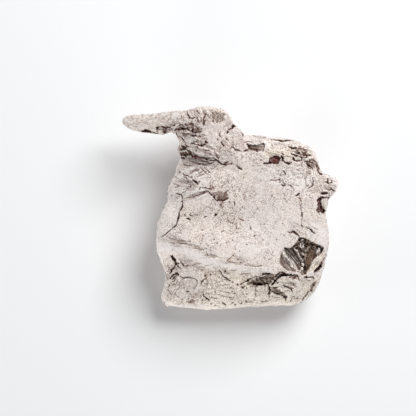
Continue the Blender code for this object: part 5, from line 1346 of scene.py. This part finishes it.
class SkinSettings(bpy.types.PropertyGroup):
    voxel: size_setting(
        "Face size", 1.25 * MM, 0.3 * MM, "Size of the skin's coarsest faces, on its sides and under it"
    )
    grain: share_setting("Grain", 1.0, "Strength of the fine grey grain")
    bump: share_setting("Bump", 0.6, "Strength of the finest relief")
    gloss: share_setting("Gloss", 0.2, "Strength of the reflections")
    pale: tint_setting("Pale", (0.82, 0.73, 0.69), "Colour of most of the skin")
    cream: tint_setting("Cream", (0.84, 0.75, 0.675), "Mottling towards yellow")
    lilac: tint_setting("Lilac", (0.69, 0.62, 0.605), "Mottling towards a cool grey")
    # cool white of smooth skin, also a painted highlight along the crest and the silhouette's rims
    frost: tint_setting("Frost", (0.87, 0.82, 0.81), "Smooth, cool white skin of the crest")
    # yellowish tone of the lower band, set lighter than its own colour as painted light on the slope
    warm: tint_setting("Warm", (0.98, 0.865, 0.72), "Weathered lower band")
    tan: tint_setting("Tan", (0.53, 0.41, 0.28), "Ochre film")
    mauve: tint_setting("Mauve", (0.50, 0.42, 0.41), "Mauve film in shallow folds")
    # painted shade between the folds
    valley: tint_setting("Valley", (0.33, 0.255, 0.235), "Mauve brown between sharp folds")
    grey: tint_setting("Grey", (0.40, 0.33, 0.29), "Grey grain and film")
    # pale of rubbed edges and light grains, and the painted highlights on edges, rims, crests and lit flanks
    bright: tint_setting("Bright", (0.92, 0.87, 0.84), "Rubbed edges")
    stain: tint_setting("Stain", (0.20, 0.125, 0.10), "Brown stains")
    rust: tint_setting("Rust", (0.10, 0.022, 0.018), "Red-black rust")
    # brown of open pockets, deepened as painted shade in recesses, the cave and the hidden socket
    shade: tint_setting("Shade", (0.14, 0.09, 0.062), "Brown ground of open pockets")
    # brown of dirt specks, veins and pits, and painted shade in hollows
    dirt_and_hollow_shade: tint_setting("Earth", (0.24, 0.165, 0.125), "Dirt in hollows")
    umber: tint_setting("Umber", (0.19, 0.105, 0.08), "Reddish brown sides of the cracks")
    # near-black painted shade in the depths of the cracks
    crack: tint_setting("Crack", (0.035, 0.015, 0.011), "Depth of the cracks")


class InclusionSettings(bpy.types.PropertyGroup):
    voxel: size_setting(
        "Face size", 0.35 * MM, 0.1 * MM, "Size of the inclusion's faces before its upper side is refined"
    )
    bump: share_setting("Bump", 0.5, "Strength of the finest relief")
    gloss: share_setting("Gloss", 0.2, "Strength of the reflections")
    deep: tint_setting("Deep", (0.052, 0.031, 0.021), "Darkest facets")
    grey: tint_setting("Grey", (0.22, 0.165, 0.14), "Lit grey facets")
    brown: tint_setting("Brown", (0.165, 0.095, 0.055), "Brown plate")
    pink: tint_setting("Pink", (0.42, 0.31, 0.26), "Pinkish plates")
    # painted glints on the plates and painted reflections along the ridges
    bright: tint_setting("Bright", (0.88, 0.82, 0.78), "Rubbed ridges and fragments")


class StageSettings(bpy.types.PropertyGroup):
    lens: bpy.props.FloatProperty(
        name="Lens", description="Focal length, on a 36 mm sensor", unit="CAMERA", min=20.0, default=200.0
    )
    key_power: power_setting("Key", 5.95, "Power of the key light")
    front_power: power_setting("Front", 2.05, "Power of the low light in front")
    left_power: power_setting("Left", 1.5, "Power of the low light on the left")
    room: share_setting("Room", 0.19, "Brightness of the white room")
    floor: tint_setting("Floor", (0.92, 0.93, 0.94), "Colour of the table")


# ---------------------------------------------------------------------------------------------------------
# The pieces
# ---------------------------------------------------------------------------------------------------------

# Patches count as sharp when they are stronger and have a narrower edge than this
SHARP_STRENGTH = 0.65
SHARP_EDGE = 0.75

# The plug of the pocket, in squares: how far outside the rim its brim is measured, and how far it reaches
# out; then how far it goes under the socket's floor, and the height that its brim is measured from
PLUG_BRIM = 2.6
PLUG_GROW = 1.4
PLUG_ROOT = 2 * MM
PLUG_SKY = 0.1

# How far outside and inside the pocket's rim the faces are halved once more, in squares
RIM_OUTSIDE = 0.8
RIM_INSIDE = 1.0

SKIN_SMOOTHING = 3
SKIN_WOBBLE = 0.5
# painted shade on the hidden floor and walls of the socket
SUNK_PAINTED_SHADE = 0.9
# The skin passes from flank to upper side between these slopes
FACING_SLOPES = (0.05, 0.4)
# The painted shade of a hollow or the painted highlight of an edge starts to show at the first of these
# bends, and is whole at the second
HOLLOW_BENDS = (0.06, 0.3)
EDGE_BENDS = (0.08, 0.35)
# Between these heights the relief fades in above the resting facet
RESTING_HEIGHTS = (0.2 * MM, 1.5 * MM)

INCLUSION_GROW = 0.4
INCLUSION_SMOOTHING = 1
INCLUSION_WOBBLE = 0.25
INCLUSION_SLOPES = (0.3, 0.7)
INCLUSION_BENDS = (0.1, 0.4)


def draw(rows, how):
    for row in rows:
        how(*row)


def crumple(relief, facing):
    """Broken, crumpled relief: strong on the neck, the flanks and the lower band, faint on the table."""
    points, tint = relief.points, relief.tint
    fall = relief.row - BAND_SLOPE * (relief.column - BAND_COLUMN)
    band = smooth_step(fall, *BAND_ROWS)
    side = 1 - facing
    neck = relief.oval(*NECK) * (1.05 - 0.7 * relief.oval(*CALM_NECK))
    places = [strength * relief.oval(*place) for strength, place in CRUMPLED]
    most = np.maximum.reduce([neck, *places, CRUMPLED_BAND * band, CRUMPLED_SIDE * side])
    plates = broken_at(points, 4.0 * MM, 2.0)
    chips = broken_at(points, 1.7 * MM, 7.0)
    ripple = noise_at(points, 2.6 * MM, 4, 1.0)
    pebbles = noise_at(points, 0.9 * MM, 2, 8.0)
    lift = 0.3 * plates + 0.18 * chips + 0.3 * ripple + 0.12 * pebbles - 0.1
    # painted highlight: the steep flanks that form the silhouette from above are painted pale
    rim_highlight = smooth_step(facing, 0.0, 0.2) * (1 - smooth_step(facing, 0.8, 1.0))
    relief.deepen("bright", rim_highlight)
    tint["side"] = side
    tint["mauve"] += 0.5 * side * smooth_step(noise_at(points, 9 * MM, 3, 6.0), 0.05, 0.5)
    tint["tan"] += 0.5 * side * smooth_step(noise_at(points, 7 * MM, 3, 8.0), 0.1, 0.5)
    # the lower band is painted warmer and lighter: its yellowish tone, plus painted light where it slopes
    # away from the key light
    tint["warm"] += (0.3 + 0.65 * smooth_step(relief.column, *WARM_COLUMNS)) * band * facing
    swell = sum(SWELL * relief.oval(*place) for place in SWOLLEN)
    return (LEAST_CRUMPLED + most) * lift + side * swell


def drawn_near(points, reach, sharp):
    """Whether each point is within a reach of anything that is drawn, or of what is drawn sharply."""
    sheet = Sheet(points)
    found = np.zeros(len(points), bool)
    paths = [line[-1] for line in CRACKS]
    for _, strength, _, edge, outline in PATCHES:
        if not sharp or strength > SHARP_STRENGTH and edge < SHARP_EDGE:
            paths.append([*outline, *outline[:2]])
    if not sharp:
        paths += [line[-1] for line in RIDGES]
    for path in paths:
        chosen, gap, _, _ = sheet.near(path, reach)
        found[chosen] |= gap < reach
    for column, row, _, _ in DOTS:
        found |= np.hypot(sheet.column - column, sheet.row - row) < reach
    if not sharp:
        for outline, *_ in FOLDS:
            chosen, depth = sheet.within(outline, 1)
            found[chosen] |= depth > 0
    return found


def in_pocket(points, margin):
    """Whether each point is inside the pocket's rim, or within a margin outside it, in squares."""
    found = np.zeros(len(points), bool)
    chosen, depth = Sheet(points).within(POCKET_RIM, abs(margin) + 1)
    found[chosen] = depth > -margin
    return found & (points[:, 2] > SOCKET_FLOOR - MM)


def rim_points(grow):
    """The pocket's rim, moved outwards by a number of squares."""
    rim = np.reshape(POCKET_RIM, (-1, 2))
    middle = rim.mean(axis=0)
    away = rim - middle
    return middle + away * (1 + grow / np.hypot(*away.T))[:, None]


def prism(outline, low, heights, name):
    """A closed solid with an outline on the sheet, a flat underside and a top that is a fan."""
    skin = bmesh.new()
    top = [skin.verts.new(sheet_point(*spot, height)) for spot, height in zip(outline, heights)]
    base = [skin.verts.new(sheet_point(*spot, low)) for spot in outline]
    middle = outline.mean(axis=0)
    peak = skin.verts.new(sheet_point(*middle, np.mean(heights)))
    root = skin.verts.new(sheet_point(*middle, low))
    for right in range(len(top)):
        left = right - 1
        skin.faces.new((top[left], top[right], peak))
        skin.faces.new((base[right], base[left], root))
        skin.faces.new((base[left], base[right], top[right], top[left]))
    bmesh.ops.recalc_face_normals(skin, faces=skin.faces)
    mesh = bpy.data.meshes.new(name)
    skin.to_mesh(mesh)
    skin.free()
    return mesh


def with_plug(mesh):
    """The mass with its socket filled up, so that the pocket's rim can be cut sharply."""
    faces = [face.vertices for face in mesh.polygons]
    tree = BVHTree.FromPolygons([point.co for point in mesh.vertices], faces)
    down = Vector((0, 0, -1))
    tops = [tree.ray_cast(sheet_point(*spot, PLUG_SKY), down)[0].z for spot in rim_points(PLUG_BRIM)]
    plug = prism(rim_points(PLUG_GROW), SOCKET_FLOOR - PLUG_ROOT, tops, "plug")
    skin = bmesh.new()
    skin.from_mesh(mesh)
    skin.from_mesh(plug)
    skin.to_mesh(mesh)
    skin.free()
    bpy.data.meshes.remove(plug)
    return mesh


def skin_mesh(settings):
    voxel = settings.voxel * 1
    mesh = evened(with_plug(cad_copy("iron_mass")), voxel, SKIN_SMOOTHING)
    for slope, reach, sharp in FINENESS:
        wanted = read_points(mesh, "normal")[:, 2] > slope
        if reach:
            wanted &= drawn_near(read_points(mesh), reach, sharp)
        refine(mesh, wanted)
    points = read_points(mesh)
    refine(mesh, in_pocket(points, RIM_OUTSIDE) & ~in_pocket(points, -RIM_INSIDE))
    points = read_points(mesh)
    normals = read_points(mesh, "normal")
    facing = smooth_step(normals[:, 2], *FACING_SLOPES)
    relief = Relief(points, SKIN_TINTS, SKIN_WOBBLE)
    draw(CRACKS, relief.crack)
    draw(DOTS, relief.dot)
    draw(PATCHES, relief.patch)
    draw(FOLDS, relief.streak)
    draw(GRIT, relief.grit)
    draw(LEDGES, relief.ledge)
    draw(RIDGES, relief.ridge)
    for values in relief.tint.values():
        values *= facing
    lift = relief.lift * facing + crumple(relief, facing)
    lift *= smooth_step(points[:, 2], *RESTING_HEIGHTS)
    up = np.array([0.0, 0.0, 1.0])
    way = facing[:, None] * up + (1 - facing[:, None]) * normals
    sunk = in_pocket(points, 0.0)
    moved = points + way * (lift * MM)[:, None]
    moved[sunk, 2] = SOCKET_FLOOR
    write_points(mesh, np.clip(moved, np.array(CAD_LOW), np.array(CAD_HIGH)))
    bend = hollowness(mesh)
    bend[in_pocket(points, RIM_OUTSIDE)] = 0
    # painted shade in hollows, and painted highlight on convex edges
    relief.tint["hollow"] = smooth_step(bend, *HOLLOW_BENDS)
    relief.tint["edge"] = smooth_step(-bend, *EDGE_BENDS)
    # painted shade on the floor and walls of the sunk socket
    relief.tint["shade"][sunk] = SUNK_PAINTED_SHADE
    write_tints(mesh, relief.tint)
    drawn = np.maximum.reduce([relief.tint[name] for name in KEPT_TINTS])
    return thinned(mesh, MOST_TRIANGLES, drawn < KEPT_SHARE)


def bank_height(sheet, corners):
    """The height in metres of a bank through three corners, at each point of the sheet."""
    (x0, y0, z0), (x1, y1, z1), (x2, y2, z2) = corners
    slopes = np.linalg.solve([[x1 - x0, y1 - y0], [x2 - x0, y2 - y0]], [z1 - z0, z2 - z0])
    return (z0 + (sheet.column - x0) * slopes[0] + (sheet.row - y0) * slopes[1]) * MM


def inclusion_mesh(settings):
    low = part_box("dark_inclusion")[0][2]
    outline = rim_points(INCLUSION_GROW)
    block = prism(outline, low, [INCLUSION_TOP] * len(outline), "inclusion")
    mesh = evened(block, settings.voxel, INCLUSION_SMOOTHING)
    for _ in range(INCLUSION_ROUNDS):
        refine(mesh, read_points(mesh, "normal")[:, 2] > INCLUSION_SLOPE)
    points = read_points(mesh)
    normals = read_points(mesh, "normal")
    facets = Relief(points, MINERAL_TINTS, INCLUSION_WOBBLE)
    draw(PLATES, facets.patch)
    draw(RIBS, facets.ridge)
    draw(STRIATIONS, facets.streak)
    facets.lift += 0.25 * broken_at(points, 1.5 * MM, 3.0) + 0.12 * noise_at(points, 0.8 * MM, 3, 2.0)
    banks = np.maximum(bank_height(facets, LEFT_BANK), bank_height(facets, RIGHT_BANK))
    top = banks + facets.lift * MM
    share = smooth_step(points[:, 2], low, INCLUSION_TOP)
    points[:, 2] = low + share * (top - low)
    write_points(mesh, points)
    bend = hollowness(mesh) * smooth_step(normals[:, 2], *INCLUSION_SLOPES)
    # painted shade in the inclusion's hollows, and painted highlight on its edges
    facets.deepen("crack", 0.6 * smooth_step(bend, *INCLUSION_BENDS))
    facets.deepen("bright", 0.35 * smooth_step(-bend, *INCLUSION_BENDS))
    write_tints(mesh, facets.tint)
    return mesh


class METEORITE_OT_mass(bpy.types.Operator):
    """Add the pale torn mass"""

    bl_idname = "meteorite.mass"
    bl_label = "Torn mass"

    def execute(self, context):
        settings = context.scene.meteorite_skin
        mass = piece("torn_mass", skin_mesh(settings), skin_material(settings))
        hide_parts("iron_mass")
        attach(mass, "root")
        return {"FINISHED"}


class METEORITE_OT_inclusion(bpy.types.Operator):
    """Add the dark faceted inclusion"""

    bl_idname = "meteorite.inclusion"
    bl_label = "Dark inclusion"

    def execute(self, context):
        settings = context.scene.meteorite_inclusion
        inclusion = piece("striated_inclusion", inclusion_mesh(settings), mineral_material(settings))
        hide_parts("dark_inclusion")
        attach(inclusion, "root")
        return {"FINISHED"}


# ---------------------------------------------------------------------------------------------------------
# The stage
# ---------------------------------------------------------------------------------------------------------

PICTURE_SQUARES = 416
PICTURE_MIDDLE = 208.0
FOCUS_HEIGHT = 0.022
SENSOR = 36.0
FLOOR_SIZE = 3.0
MIDDLE = Vector((0, 0, 0.02))

# Lamps: name, place and width in metres
LAMPS = (
    ("key", (0.30, 0.42, 0.58), 0.45),
    ("front", (-0.06, -0.64, 0.11), 0.24),
    ("left", (-0.63, -0.12, 0.11), 0.24),
)


def add_floor(settings):
    shape = bmesh.new()
    bmesh.ops.create_grid(shape, x_segments=1, y_segments=1, size=FLOOR_SIZE / 2)
    mesh = bpy.data.meshes.new("table")
    shape.to_mesh(mesh)
    shape.free()
    mesh.materials.append(floor_material(settings))
    floor = bpy.data.objects.new("table", mesh)
    bpy.context.scene.collection.objects.link(floor)


def add_lamp(name, place, width, power):
    lamp = bpy.data.lights.new(name, "AREA")
    lamp.shape = "DISK"
    lamp.size = width
    lamp.energy = power
    obj = bpy.data.objects.new(name, lamp)
    obj.location = place
    obj.rotation_euler = (MIDDLE - Vector(place)).to_track_quat("-Z", "Y").to_euler()
    obj.visible_camera = False
    bpy.context.scene.collection.objects.link(obj)


def add_room(brightness):
    room = bpy.data.worlds.new("room")
    room.use_nodes = True
    walls = room.node_tree.nodes["Background"]
    walls.inputs["Color"].default_value = (1, 1, 1, 1)
    walls.inputs["Strength"].default_value = brightness
    bpy.context.scene.world = room
    bpy.context.scene.view_settings.view_transform = "Standard"


def add_camera(lens):
    eye = bpy.data.cameras.new("camera")
    eye.lens = lens
    eye.sensor_width = SENSOR
    obj = bpy.data.objects.new("camera", eye)
    distance = PICTURE_SQUARES * GRID * lens / SENSOR
    obj.location = sheet_point(PICTURE_MIDDLE, PICTURE_MIDDLE, FOCUS_HEIGHT + distance)
    bpy.context.scene.collection.objects.link(obj)
    bpy.context.scene.camera = obj


class METEORITE_OT_stage(bpy.types.Operator):
    """Add the white table, the lights and the camera"""

    bl_idname = "meteorite.stage"
    bl_label = "Stage"

    def execute(self, context):
        settings = context.scene.meteorite_stage
        add_floor(settings)
        for name, place, width in LAMPS:
            add_lamp(name, place, width, getattr(settings, f"{name}_power"))
        add_room(settings.room)
        add_camera(settings.lens)
        return {"FINISHED"}


# Each operator, the name that its settings have on the scene, and their class
ROWS = (
    (METEORITE_OT_stage, "meteorite_stage", StageSettings),
    (METEORITE_OT_mass, "meteorite_skin", SkinSettings),
    (METEORITE_OT_inclusion, "meteorite_inclusion", InclusionSettings),
)


class VIEW3D_PT_meteorite(bpy.types.Panel):
    """The pieces and the stage, each with its settings"""

    bl_label = "Iron meteorite"
    bl_space_type = "VIEW_3D"
    bl_region_type = "UI"
    bl_category = "Meteorite"

    def draw(self, context):
        for operator, name, _ in ROWS:
            box = self.layout.box()
            box.operator(operator.bl_idname)
            settings = getattr(context.scene, name)
            for key in settings.bl_rna.properties.keys():
                if key not in ("rna_type", "name"):
                    box.prop(settings, key)


CLASSES = (*(row[2] for row in ROWS), *(row[0] for row in ROWS), VIEW3D_PT_meteorite)


def register():
    for cls in CLASSES:
        bpy.utils.register_class(cls)
    for _, name, group in ROWS:
        setattr(bpy.types.Scene, name, bpy.props.PointerProperty(type=group))


def unregister():
    for _, name, _ in ROWS:
        delattr(bpy.types.Scene, name)
    for cls in reversed(CLASSES):
        bpy.utils.unregister_class(cls)


def main():
    register()
    bpy.ops.meteorite.stage()
    bpy.ops.meteorite.mass()
    bpy.ops.meteorite.inclusion()


if __name__ == "__main__":
    main()
